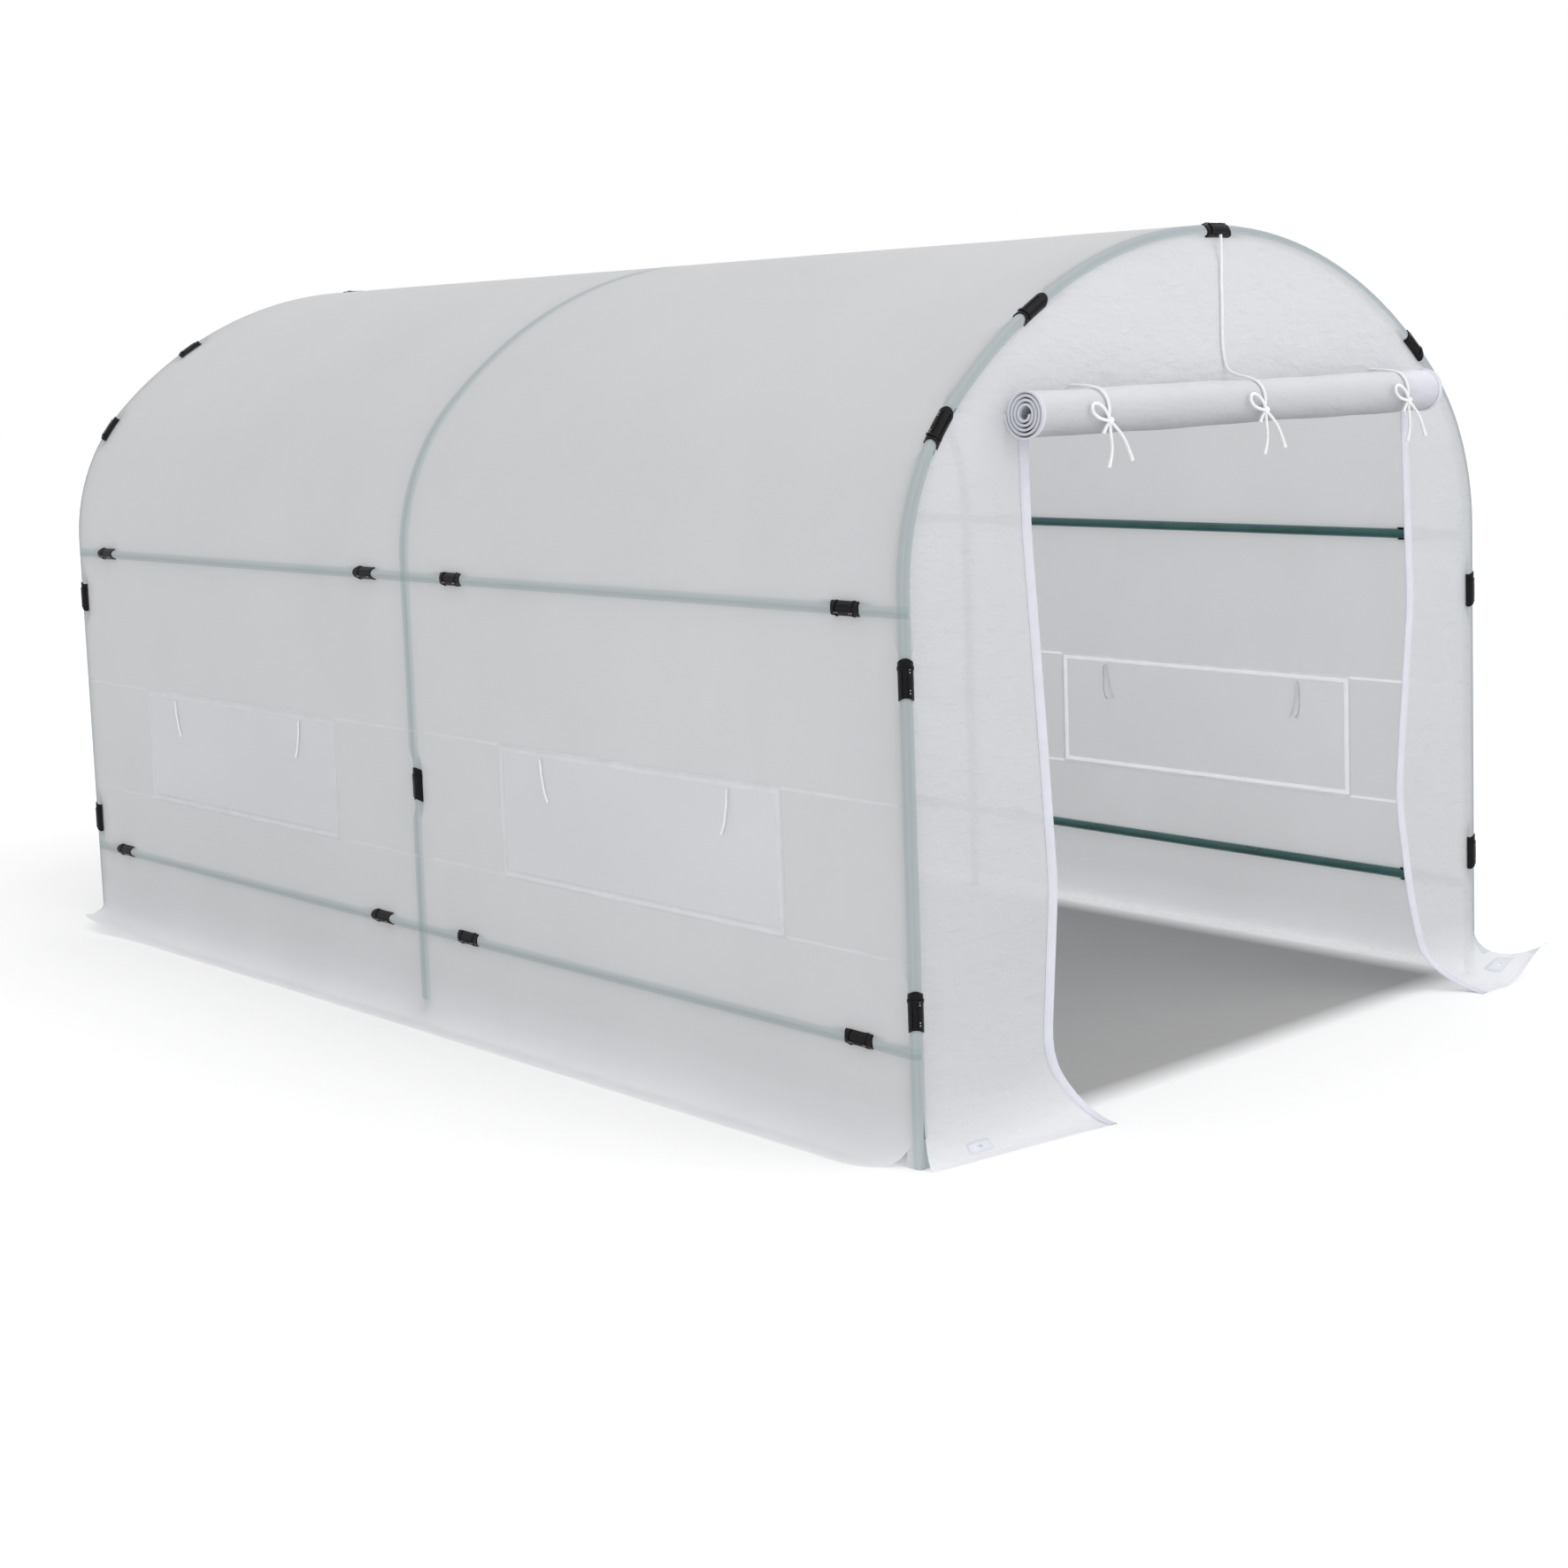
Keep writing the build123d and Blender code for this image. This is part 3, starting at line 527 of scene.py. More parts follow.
def down_the_side(distance, flared=True):
    """Centre-line point and outward direction at a distance along the film from the top of the hoop."""
    along = abs(distance)
    side = math.copysign(1, distance)
    if along <= CROWN_LENGTH:
        angle = math.pi / 2 - along / (CROWN_RADIUS + FILM_OFF)
        out = (math.cos(angle), math.sin(angle))
        point = (CROWN_RADIUS * out[0], CROWN_Z + CROWN_RADIUS * out[1])
    elif along <= EAVE:
        angle = JOINT_ANGLE - (along - CROWN_LENGTH) / (HAUNCH_RADIUS + FILM_OFF)
        out = (math.cos(angle), math.sin(angle))
        point = (HAUNCH_X + HAUNCH_RADIUS * out[0], SPRING_Z + HAUNCH_RADIUS * out[1])
    elif along <= BEND_START or not flared:
        out, point = (1.0, 0.0), (HALF_SPAN, SPRING_Z - (along - EAVE))
    else:
        turn = min((along - BEND_START) / SIDE_BEND, math.pi / 2)
        flat = max(along - BEND_START - BEND_LENGTH, 0)
        out = (math.cos(turn), math.sin(turn))
        lift = SIDE_BEND + FLOOR_LIFT - SIDE_BEND * math.sin(turn)
        point = (HALF_SPAN + SIDE_BEND * (1 - math.cos(turn)) + flat, lift)
        point = (point[0] + FILM_OFF * (1 - out[0]), point[1] - FILM_OFF * out[1])
    return np.array((side * point[0], point[1])), np.array((side * out[0], out[1]))


def height_place(z):
    """Distance along the film from the top of the hoop to a height of the wall."""
    return EAVE + SPRING_Z - z


def haunch_place(angle):
    return CROWN_LENGTH + (JOINT_ANGLE - math.radians(angle)) * (HAUNCH_RADIUS + FILM_OFF)


def crown_place(lean):
    return math.radians(lean) * (CROWN_RADIUS + FILM_OFF)


def waves(u, v, seed, size, count=7):
    """Smooth uneven waves of a sheet, from -1 to 1, about as long as size."""
    chance = np.random.default_rng(seed)
    total = np.zeros_like(u)
    for _ in range(count):
        angle, phase = chance.uniform(0, math.pi), chance.uniform(0, 2 * math.pi)
        length = size * chance.uniform(0.6, 1.6)
        total += np.sin(2 * math.pi * (u * math.cos(angle) + v * math.sin(angle)) / length + phase)
    return total / count


def smooth_step(x):
    x = np.clip(x, 0, 1)
    return x * x * (3 - 2 * x)


# Clips, as the film and their marks need them: middle of the clip on the tube's line, the tube's direction from
# the clip's closed end to its open one, the way the clip faces, and how far round from there its studs are

def arch_clip(distance, way):
    point, out = down_the_side(distance)
    toward = 1 if distance <= 0 else -1
    return (Vector((point[0], way * HOOP_Y, point[1])), Vector((out[1], 0, -out[0])) * toward,
            Vector((out[0], way, out[1])).normalized(), ARCH_STUDS * way * toward)


def clip_frames():
    frames = []
    down = Vector((0, 0, -1))
    for side in HANDS:
        outward = Vector((side, 0, 0))
        for way in ENDS:
            for z in (LOWER_RAIL_Z, UPPER_RAIL_Z):
                for y in RAIL_CLIP_YS:
                    middle = Vector((side * HALF_SPAN, way * y, z))
                    frames.append((middle, Vector((0, -1, 0)), outward, -RAIL_STUDS * side))
            for z in END_LEG_CLIP_ZS:
                middle = Vector((side * HALF_SPAN, way * HOOP_Y, z))
                frames.append((middle, down, Vector((side, way, 0)).normalized(), -POST_STUDS * side * way))
            if way > 0 or side < 0:
                frames.append(arch_clip(side * haunch_place(HAUNCH_CLIP_ANGLE), way))
                frames.append(arch_clip(side * crown_place(UPPER_CLIP_LEAN), way))
        frames.append((Vector((side * HALF_SPAN, 0, MIDDLE_LEG_CLIP_Z)), down, outward, -MIDDLE_STUDS * side))
    frames.append(arch_clip(crown_place(RIGHT_CLIP_LEAN), -1))
    return frames + [arch_clip(0.0, way) for way in ENDS]


CLIP_FRAMES = clip_frames()
GRIP_ANGLE = math.radians(80)
GRIP_REACH = 0.085
GRIP_FADE = 0.05
GRIP_SEARCH = 0.16
GRIP_DEPTH = 0.006


def gripped(points, normals):
    """Pull the film in round the tube under and beside each clip."""
    start_out, start_side = FILM_OFF * math.cos(GRIP_ANGLE), FILM_OFF * math.sin(GRIP_ANGLE)
    for centre, along, _, _ in CLIP_FRAMES:
        centre, along = np.array(centre), np.array(along)
        near = np.linalg.norm(points - centre, axis=1) < GRIP_SEARCH
        if not near.any():
            continue
        away = points[near] - centre
        lengthwise = away @ along
        out = normals[near] - np.outer(normals[near] @ along, along)
        out /= np.linalg.norm(out, axis=1)[:, None]
        across = np.cross(along, out)
        side = np.einsum("ij,ij->i", away, across)
        level = np.einsum("ij,ij->i", away, out)
        hold = 1 - smooth_step((np.abs(lengthwise) - CLIP_HALF) / GRIP_FADE)
        angle = np.minimum(np.abs(side) / FILM_OFF, GRIP_ANGLE)
        free = np.clip((np.abs(side) - FILM_OFF * GRIP_ANGLE) / (GRIP_REACH - FILM_OFF * GRIP_ANGLE), 0, 1)
        rising = start_out + (FILM_OFF - start_out) * smooth_step(free)
        new_out = np.where(free > 0, rising, FILM_OFF * np.cos(angle))
        new_side = np.where(free > 0, start_side + (GRIP_REACH - start_side) * free, FILM_OFF * np.sin(angle))
        on_plane = (np.abs(level - FILM_OFF) < GRIP_DEPTH) & (np.abs(side) < GRIP_REACH)
        hold = np.where(on_plane, hold, 0)
        change = out * ((new_out - FILM_OFF) * hold)[:, None]
        change += across * ((np.sign(side) * new_side - side) * hold)[:, None]
        points[near] += change
    return points


def corner_loss(from_edge, radius):
    """How much a rounded corner takes off a sheet's width at a distance from its edge."""
    short = min(max(radius - from_edge, 0), radius)
    return radius - math.sqrt(radius**2 - short**2)


def cover_point(distance, y, flared):
    """Point and outward direction of the cover at its flat place, turned round the end hoops."""
    point, out = down_the_side(distance, flared)
    turn = min(max(abs(y) - HOOP_Y, 0) / FILM_OFF, math.pi / 2)
    past = max(abs(y) - HOOP_Y - WRAP, 0)
    sideways = out * math.cos(turn)
    normal = np.array((sideways[0], math.copysign(math.sin(turn), y), sideways[1]))
    base = np.array((point[0], math.copysign(min(abs(y), HOOP_Y), y), point[1]))
    inward = np.array((-out[0], 0, -out[1])) * past
    return base + FILM_OFF * normal + inward, normal


def clear_of_tubes(points):
    """Push film that the clips pull in back out to the surface of the rails and posts."""
    side = np.sign(points[:, 0])
    tubes = [(2, z, 1, HOOP_Y) for z in (LOWER_RAIL_Z, UPPER_RAIL_Z)]
    tubes += [(1, y, 2, SPRING_Z) for y in (-HOOP_Y, 0.0, HOOP_Y)]
    for axis, place, lengthwise, end in tubes:
        away = np.stack((points[:, 0] - side * HALF_SPAN, points[:, axis] - place), -1)
        reach = np.linalg.norm(away, axis=1)
        short = (reach < FILM_OFF) & (np.abs(points[:, lengthwise]) < end) & (reach > 1e-6)
        points[np.ix_(short, (0, axis))] += away[short] * (FILM_OFF / reach[short] - 1)[:, None]


# Steps of the cover's mesh in open film, and how far finer ones reach: beside a tube, on it and round a clip
WALL_STEP, LENGTH_STEP = 0.034, 0.04
BY_TUBE, ON_TUBE, BY_CLIP = (0.09, 0.012), (0.028, 0.0047), (0.095, 0.014)


def zone(place, finer):
    return max(place - finer[0], 0), place + finer[0], finer[1]


def both_ways(half, *marks):
    """Places on both sides of 0, from those on one side and marks to add to them."""
    half = np.unique(np.round(np.append(half, marks), 6))
    return np.concatenate((-half[:0:-1], half))


# Painted light and shade of the cover at each height, a factor on its colour that is brighter on the skirts, its
# slack, how its edges stand up, and the skirt's back tip
COVER_PAINTED_SHADE = ((0.0, 0.04, 0.13, 0.6, 1.1, 1.3, 1.9), (1.17, 1.13, 0.97, 0.97, 0.96, 0.97, 0.975))
COVER_SLACK = 0.0014
SKIRT_SLACK = 0.0024
EDGE_RISE = 0.006
BACK_TIP = (-0.045, 0.03, 0.05)
# How fast the distance to the middle and end hoops grows for their painted shade bands, a smaller number giving a
# wider band, and how soft the change is from a band's painted lit half to its painted shaded half
MIDDLE_BAND, END_BAND = 0.62, 2
SIDE_FADE = 0.004
# Places on the cover: the rails, the windows' edges, and the line where the skirts start
RAIL_PLACES = [height_place(z) for z in (LOWER_RAIL_Z, UPPER_RAIL_Z)]
WINDOW_PLACES = [height_place(z) for z in (WINDOW_TOP_Z, WINDOW_BOTTOM_Z)]
WINDOW_YS = [HOOP_Y / 2 - WINDOW_WIDTH / 2, HOOP_Y / 2 + WINDOW_WIDTH / 2]
SKIRT_PLACE = height_place(NOTCH_Z)


def cover_mesh():
    """Flat places, points, normals and faces of walls and roof, of the skirts and of the tongues at the posts."""
    zones = [zone(rail, finer) for rail in RAIL_PLACES for finer in (BY_TUBE, ON_TUBE)]
    clip_spots = [haunch_place(HAUNCH_CLIP_ANGLE), crown_place(UPPER_CLIP_LEAN), 0.0]
    clip_spots += [height_place(z) for z in (*END_LEG_CLIP_ZS, MIDDLE_LEG_CLIP_Z)]
    zones += [zone(spot, BY_CLIP) for spot in clip_spots]
    seams = [place + lap for place in WINDOW_PLACES for lap in (-SEAM_WIDTH / 2, SEAM_WIDTH / 2)]
    wall = both_ways(spaced(0.0, SKIRT_PLACE, WALL_STEP, zones), *RAIL_PLACES, *WINDOW_PLACES, *seams)
    y_zones = [zone(0.0, BY_TUBE), zone(0.0, ON_TUBE), (HOOP_Y - BY_TUBE[0], HOOP_Y, BY_TUBE[1]),
               (HOOP_Y - ON_TUBE[0], HOOP_Y + WRAP, ON_TUBE[1]), *(zone(y, BY_CLIP) for y in RAIL_CLIP_YS)]
    lengthwise = both_ways(spaced(0.0, HOOP_Y + WRAP, LENGTH_STEP, y_zones), HOOP_Y, *WINDOW_YS)

    flat, points, normals, faces = [], [], [], []

    def add_block(places, flared, keep=None):
        rows, columns, _ = places.shape
        faces.extend(grid_faces(rows, columns, len(flat), keep))
        for distance, y in places.reshape(-1, 2):
            point, normal = cover_point(distance, y, flared)
            flat.append((distance, y))
            points.append(point)
            normals.append(normal)

    def outside_windows(row, column):
        distance = (abs(wall[row]) + abs(wall[row + 1])) / 2
        y = abs(lengthwise[column] + lengthwise[column + 1]) / 2
        at_seam = min(abs(distance - place) for place in WINDOW_PLACES) < SEAM_WIDTH / 2 and y < HOOP_Y
        in_window = WINDOW_PLACES[0] < distance < WINDOW_PLACES[1] and WINDOW_YS[0] < y < WINDOW_YS[1]
        return not (at_seam or in_window)

    add_block(np.stack(np.meshgrid(wall, lengthwise, indexing="ij"), -1), False, outside_windows)
    free = lengthwise[np.abs(lengthwise) < HOOP_Y - 0.003]
    for side in HANDS:
        skirt = []
        for distance in np.linspace(SKIRT_PLACE, HALF_SECTION, 16):
            limit = free[-1] - SIDE_SLIT * (distance - SKIRT_PLACE) / (HALF_SECTION - SKIRT_PLACE)
            limit -= corner_loss(HALF_SECTION - distance, SIDE_CORNER)
            skirt.append([(side * distance, y * limit / free[-1]) for y in free])
        add_block(np.array(skirt), True)
        for way in ENDS:
            round_post = way * np.linspace(HOOP_Y - TONGUE, HOOP_Y + WRAP + TONGUE, 13)
            down = side * np.linspace(SKIRT_PLACE, height_place(FLOOR_GAP), 5)
            add_block(np.stack(np.meshgrid(down, round_post, indexing="ij"), -1), False)
    return *(np.array(a, float) for a in (flat, points, normals)), faces


def cover_film():
    """Walls, roof and side skirts in one sheet, turned round the end hoops and the feet of the corner posts."""
    flat, points, normals, faces = cover_mesh()
    u, v = flat.T
    bay = np.abs(np.sin(math.pi * np.clip(np.abs(v), 0, HOOP_Y) / HOOP_Y))
    from_seam = np.min([np.abs(np.abs(u) - place) for place in WINDOW_PLACES], axis=0)
    slack = COVER_SLACK * waves(u, v, 11, 0.55) * bay * smooth_step((from_seam - SEAM_WIDTH / 2) / 0.06)
    flare = smooth_step((np.abs(u) - SKIRT_PLACE) / (HALF_SECTION - SKIRT_PLACE))
    between_posts = np.abs(v) < HOOP_Y
    slack += SKIRT_SLACK * (waves(u, v, 12, 0.22) + 0.4) * flare * between_posts
    points += normals * slack[:, None]
    raised = flare * between_posts * smooth_step((v - 1.3) / 0.5) * (u < 0)
    points += raised[:, None] * np.array(BACK_TIP)
    points[:, 2] += EDGE_RISE * smooth_step(flare / 0.4 - 1.5) * between_posts
    points[:, 2] = np.maximum(points[:, 2], FLOOR_GAP)
    gripped(points, normals)
    clear_of_tubes(points)

    # Painted shade bands: distance to the nearest hoop, with no band on the skirts below the notch away from the
    # corner posts, and to the nearest rail
    hoop = np.minimum(END_BAND * np.maximum(HOOP_Y - np.abs(v), 0), MIDDLE_BAND * np.abs(v))
    hoop[(np.abs(v) < HOOP_Y - 0.01) & (points[:, 2] < NOTCH_Z - 0.008)] = FAR
    nearest = np.argmin([np.abs(np.abs(u) - place) for place in RAIL_PLACES], axis=0)
    below = np.abs(u) - np.array(RAIL_PLACES)[nearest]
    # Painted light and shade by height, kept as the third part of near
    share = np.interp(points[:, 2], *COVER_PAINTED_SHADE)
    near = np.stack((np.minimum(hoop, FAR), np.minimum(np.abs(below), FAR), share), -1)
    # Which half of each painted shade band a point is on: the painted lit half on one side of the tube's line, the
    # painted shaded half on the other
    past = np.where(np.abs(v) > HOOP_Y / 2, np.abs(v) - HOOP_Y - WRAP / 2, v)
    side = np.stack((*(np.clip(off / SIDE_FADE, -1, 1) for off in (past, below)), np.zeros_like(u)), -1)
    faces, flat, points, near, side = only_used(faces, flat, points, near, side)
    piece = add_mesh("cover_film", points, faces, FILM, flat, near, side)
    strips = [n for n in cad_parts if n.startswith("roof_") or "_wall_" in n]
    dress(piece, "film", *strips, "left_skirt", "right_skirt")
    weld_seams()


# End walls

FRONT_FACE = -(HOOP_Y + FILM_OFF)


def arch_half_width(z):
    """Half the width under the hoop's centre line at a height."""
    if z <= SPRING_Z:
        return HALF_SPAN
    joint_z = CROWN_Z + CROWN_RADIUS * math.sin(JOINT_ANGLE)
    if z <= joint_z:
        return HAUNCH_X + math.sqrt(HAUNCH_RADIUS**2 - (z - SPRING_Z) ** 2)
    return math.sqrt(max(CROWN_RADIUS**2 - (z - CROWN_Z) ** 2, 0))


def from_hoop(x, z):
    """How far inside the hoop's centre line points of an end wall are."""
    x = np.abs(x)
    crown = CROWN_RADIUS - np.hypot(x, z - CROWN_Z)
    haunch = HAUNCH_RADIUS - np.hypot(x - HAUNCH_X, z - SPRING_Z)
    on_crown = np.arctan2(z - CROWN_Z, x) > JOINT_ANGLE
    return np.maximum(np.where(z < SPRING_Z, HALF_SPAN - x, np.where(on_crown, crown, haunch)), 0)


def end_wall_point(x, up, way):
    """Point and outward direction of an end wall, up being the distance along the film from the skirt's edge."""
    if up < END_FLAT:
        turn, extra = math.pi / 2, END_FLAT - up
    else:
        turn, extra = max(math.pi / 2 - (up - END_FLAT) / END_BEND, 0), 0
    bend_top = END_FLAT + END_BEND * math.pi / 2
    z = up - bend_top + END_BEND if up > bend_top else END_BEND + FLOOR_LIFT - END_BEND * math.sin(turn)
    out = HOOP_Y + FILM_OFF + END_BEND * (1 - math.cos(turn)) + extra
    return (x, way * out, z), (0, way * math.cos(turn), math.sin(turn))


def up_to(z):
    """Distance along an end wall's film from the skirt's edge to a height above the skirt."""
    return END_FLAT + END_BEND * math.pi / 2 + z - END_BEND


def parted(pairs):
    """Rows of (point, direction) pairs as one array of points and one of directions."""
    return (np.array([[pair[i] for pair in row] for row in pairs], float) for i in (0, 1))


def smoothed(knots):
    """Heights and places of a line through knots, with its corners rounded off."""
    heights = np.linspace(knots[0][0], knots[-1][0], 153)
    window = np.hanning(19)[1:-1]
    places = np.pad(np.interp(heights, *zip(*knots)), 8, mode="reflect", reflect_type="odd")
    return heights, np.convolve(places, window / window.sum(), mode="valid")


EDGES = {side: smoothed(knots) for side, knots in DOOR_EDGES.items()}
FLARE_TOP = 0.13
# Length of a front skirt as a share of its reach and height
FLARE_LENGTH = 0.8


def front_point(side, share, level):
    """Point and outward direction of the front film beside the doorway: share from the film's edge to the post,
    level from 0 at the gable to 1 where the skirt starts and 2 at its edge."""
    reach = SKIRT_REACH[side][0] + share * (SKIRT_REACH[side][1] - SKIRT_REACH[side][0])
    turn = max(level - 1, 0) * math.pi / 2
    if level <= 1:
        z, y = ROLL_Z + (FLARE_TOP - ROLL_Z) * level, FRONT_FACE
    else:
        z, y = FLARE_TOP * (1 - math.sin(turn)) + FLOOR_LIFT, FRONT_FACE - reach * (1 - math.cos(turn))
    t = max(level - 1, 0)
    inner = float(np.interp(z, *EDGES[side]))
    outer = side * arch_half_width(z) + SKIRT_SWEEP[side] * t * t
    outer -= side * corner_loss((2 - level) * (reach + FLARE_TOP) * FLARE_LENGTH, END_CORNER)
    lift = SKIRT_LIFT[side] * t * t * float(smooth_step((share - 0.35) / 0.65))
    return (inner + share * (outer - inner), y, z + lift), (0, -math.cos(turn), math.sin(turn))


def skirt_width(side, level):
    return abs(front_point(side, 1, level)[0][0] - front_point(side, 0, level)[0][0])


def front_panel(side):
    """Points, directions and flat places of the film beside the doorway, in rows from the gable to the floor."""
    levels = np.concatenate((np.linspace(0, 1, 62)[:-1], np.linspace(1, 2, 22)))
    shares = spaced(0.0, 1.0, 0.05, [(0.72, 1.0, 0.016)])
    pairs = [[front_point(side, s, level) for s in shares] for level in levels]
    points, normals = parted(pairs)
    steps = np.linalg.norm(np.diff(points[..., 1:], axis=0), axis=-1)
    down = np.concatenate((np.zeros((1, len(shares))), np.cumsum(steps, axis=0)))
    flat = np.stack((points[..., 0], up_to(ROLL_Z) - down), -1)
    return tuple(a[:, ::side] for a in (points, normals, flat))


def raised_block(places, way):
    """A block of flat places on a plain end wall, with its points and directions."""
    return (*parted([[end_wall_point(x, up, way) for x, up in row] for row in places]), places)


# Painted light and shade of the end walls at each height, a factor on their colour that is flat at the back and
# brighter at the front's skirts and gable, their slack, and that of their loose lower part
FRONT_PAINTED_SHADE = ((0.0, 0.05, 0.16, 0.3, 0.9, 1.35, 1.55, 1.89), (1.24, 1.17, 1.0, 0.97, 0.97, 1.0, 1.09, 1.12))
BACK_PAINTED_SHADE = ((0.0, 1.9), (1.0, 1.0))
END_SLACK = 0.002
LOOSE_SLACK = 0.003
HELD_WITHIN = 0.12
HELD_BY_HOLE = 0.09
HOLE_CLEAR = 0.009


def finish_end(name, blocks, nodes, seed, shade, holes=()):
    """Join blocks into one sheet of film, leaving out the faces round each hole."""
    faces, count = [], 0
    for points, _, _ in blocks:
        faces += grid_faces(*points.shape[:2], first=count)
        count += points.shape[0] * points.shape[1]
    points, normals, flat = (np.concatenate([a.reshape(-1, a.shape[-1]) for a in kind]) for kind in zip(*blocks))
    for hole in holes:
        away = np.linalg.norm([points[list(f)].mean(axis=0) - hole for f in faces], axis=1)
        faces = [f for f, distance in zip(faces, away) if distance > HOLE_CLEAR]
    x, z = points[:, 0], points[:, 2]
    u, v = flat.T
    inside = from_hoop(x, z)
    held = smooth_step(inside / HELD_WITHIN)
    if holes:
        doorway = [np.interp(z, *EDGES[way]) for way in (-1, 1)]
        from_door = np.where(x < 0, doorway[0] - x, x - doorway[1])
        held = held * np.where(z < ROLL_Z + 0.05, smooth_step(from_door / HELD_BY_HOLE), 1)
    for hole in holes:
        held = held * smooth_step(np.linalg.norm(points - hole, axis=1) / HELD_BY_HOLE - 0.3)
    slack = END_SLACK * waves(u, v, seed, 0.35) * held
    slack += LOOSE_SLACK * (waves(u, v, seed + 1, 0.16) + 0.3) * smooth_step((0.35 - z) / 0.3) * held
    points = points + normals * slack[:, None]
    points[:, 2] = np.maximum(points[:, 2], FLOOR_GAP)
    gripped(points, normals)
    # Painted shade band along the hoop, none below the notch, drawn all in its painted shaded colour; and the painted
    # light and shade of the wall by height
    hoop = np.minimum(np.where(z < NOTCH_Z, FAR, END_BAND * inside), FAR)
    near = np.stack((hoop, np.full_like(x, FAR), np.interp(z, *shade)), -1)
    side = np.tile((1.0, 0.0, 0.0), (len(x), 1))
    faces, flat, points, near, side = only_used(faces, flat, points, near, side)
    piece = dress(add_mesh(name, points, faces, FRONT_FILM, flat, near, side), "film", *nodes)


def arch_rows(columns, low, high_rows):
    """Rows from a level line up to the hoop, for columns from -1 to 1 across the line's half width."""
    half = arch_half_width(low)
    if low > SPRING_Z:
        angles = [math.pi / 2 - share * (math.pi / 2 - math.atan2(low - CROWN_Z, half)) for share in columns]
        tops = [(CROWN_RADIUS * math.cos(a), CROWN_Z + CROWN_RADIUS * math.sin(a)) for a in angles]
    else:
        tops = [down_the_side(share * EAVE)[0] for share in columns]
    rows = []
    for level in 1 - np.linspace(1, 0, high_rows) ** 1.6:
        rows.append([((1 - level) * share * half + level * top[0], up_to((1 - level) * low + level * top[1]))
                     for share, top in zip(columns, tops)])
    return np.array(rows)


def eyelet(side):
    """Reinforced patch with a round eyelet on a front skirt; gives the patch and the middle of its hole."""
    width = skirt_width(side, EYELET_LEVEL)
    length = (SKIRT_REACH[side][0] + FLARE_TOP) * FLARE_LENGTH
    share = (EYELET_X - DOOR_EDGE_BY_EYELET) / (HALF_SPAN - DOOR_EDGE_BY_EYELET)
    level = 2 - EYELET_FROM_EDGE / length
    vertices = []
    for way_out, lift in EYELET_RINGS:
        for step in range(EYELET_SIDES):
            c, s = (f(2 * math.pi * step / EYELET_SIDES) for f in (math.cos, math.sin))
            reach = min(half / 2 / max(abs(part), 1e-6) for half, part in zip(EYELET_PATCH, (c, s)))
            reach = EYELET_HOLE + way_out * (min(reach, 1.1 * EYELET_PATCH[0] / 2) - EYELET_HOLE)
            point, normal = front_point(side, share + side * reach * c / width, level + reach * s / length)
            vertices.append(np.array(point) + np.array(normal) * (lift + EYELET_OFF) + (0, 0, FLOOR_LIFT))
    faces = ring_faces(len(EYELET_RINGS), EYELET_SIDES)
    patch = add_mesh("front_eyelet_" + HANDS[side], vertices, faces, HEM)
    return dress(patch, "hem"), np.array(front_point(side, share, level)[0])


def door_hem(side):
    """White edging folded over the film's edge beside the doorway, from the gable to the skirt's tip."""
    levels = np.concatenate((np.linspace(0, 1, 50)[:-1], np.linspace(1, 2, 20)))
    vertices = []
    for level in levels:
        narrow = DOOR_HEM * (1 - 0.35 * max(level - 1, 0))
        width = skirt_width(side, level)
        for inner, on, off in HEM_FOLD:
            point, normal = front_point(side, (inner * narrow + on) / width, level)
            vertices.append(np.array(point) + np.array(normal) * off)
    faces = grid_faces(len(levels), len(HEM_FOLD))
    points = np.array(vertices)
    points[:, 2] = np.maximum(points[:, 2], FLOOR_GAP / 2)
    return dress(add_mesh("door_hem_" + HANDS[side], points, faces, HEM), "hem", "door_hems")


def front_film():
    """Panels beside the doorway, gable and front skirts in one sheet, with their hems and eyelets."""
    eyelets = [eyelet(side) for side in HANDS]
    hems = [door_hem(side) for side in HANDS]
    blocks = [front_panel(side) for side in HANDS]
    blocks.append(raised_block(arch_rows(spaced(-1.0, 1.0, 0.03), ROLL_Z, 30), -1))
    nodes = ["front_panel_left", "front_panel_right", "front_gable", "front_skirt_left", "front_skirt_right"]
    finish_end("front_film", blocks, nodes, 21, FRONT_PAINTED_SHADE,
               [middle for _, middle in eyelets])


def back_film():
    """Plain back wall with its skirt."""
    half = spaced(-1.0, 0.0, 0.03, [(-1.0, -0.9, 0.008)])
    shares = np.concatenate((half, -half[-2::-1]))
    blocks = []
    for levels, in_skirt in ((spaced(0.0, up_to(SKIRT_TOP_Z), 0.012), True),
                             (spaced(up_to(SKIRT_TOP_Z), up_to(SPRING_Z), 0.022), False)):
        rows = []
        for up in levels:
            outer = HALF_SPAN - CORNER_SLIT - corner_loss(up, END_CORNER) if in_skirt else HALF_SPAN
            rows.append([(share * outer, up) for share in shares])
        blocks.append(raised_block(np.array(rows)[:, ::-1], 1))
    blocks.append(raised_block(arch_rows(shares, SPRING_Z, 36)[:, ::-1], 1))
    nodes, rests_on = ["back_panel", "back_skirt"], ["back_hoop_crown", "back_hoop_legs"]
    finish_end("back_film", blocks, nodes, 31, BACK_PAINTED_SHADE)


# Windows: closed flap outside, net inside it, a white hem round both, and the weld seams they hang between

FLAP_OFF = 0.0149
NET_OFF = 0.0131
FLAP_SLACK = 0.0008
NET_SLACK = 0.0003
SEAM_OFF = 0.0136


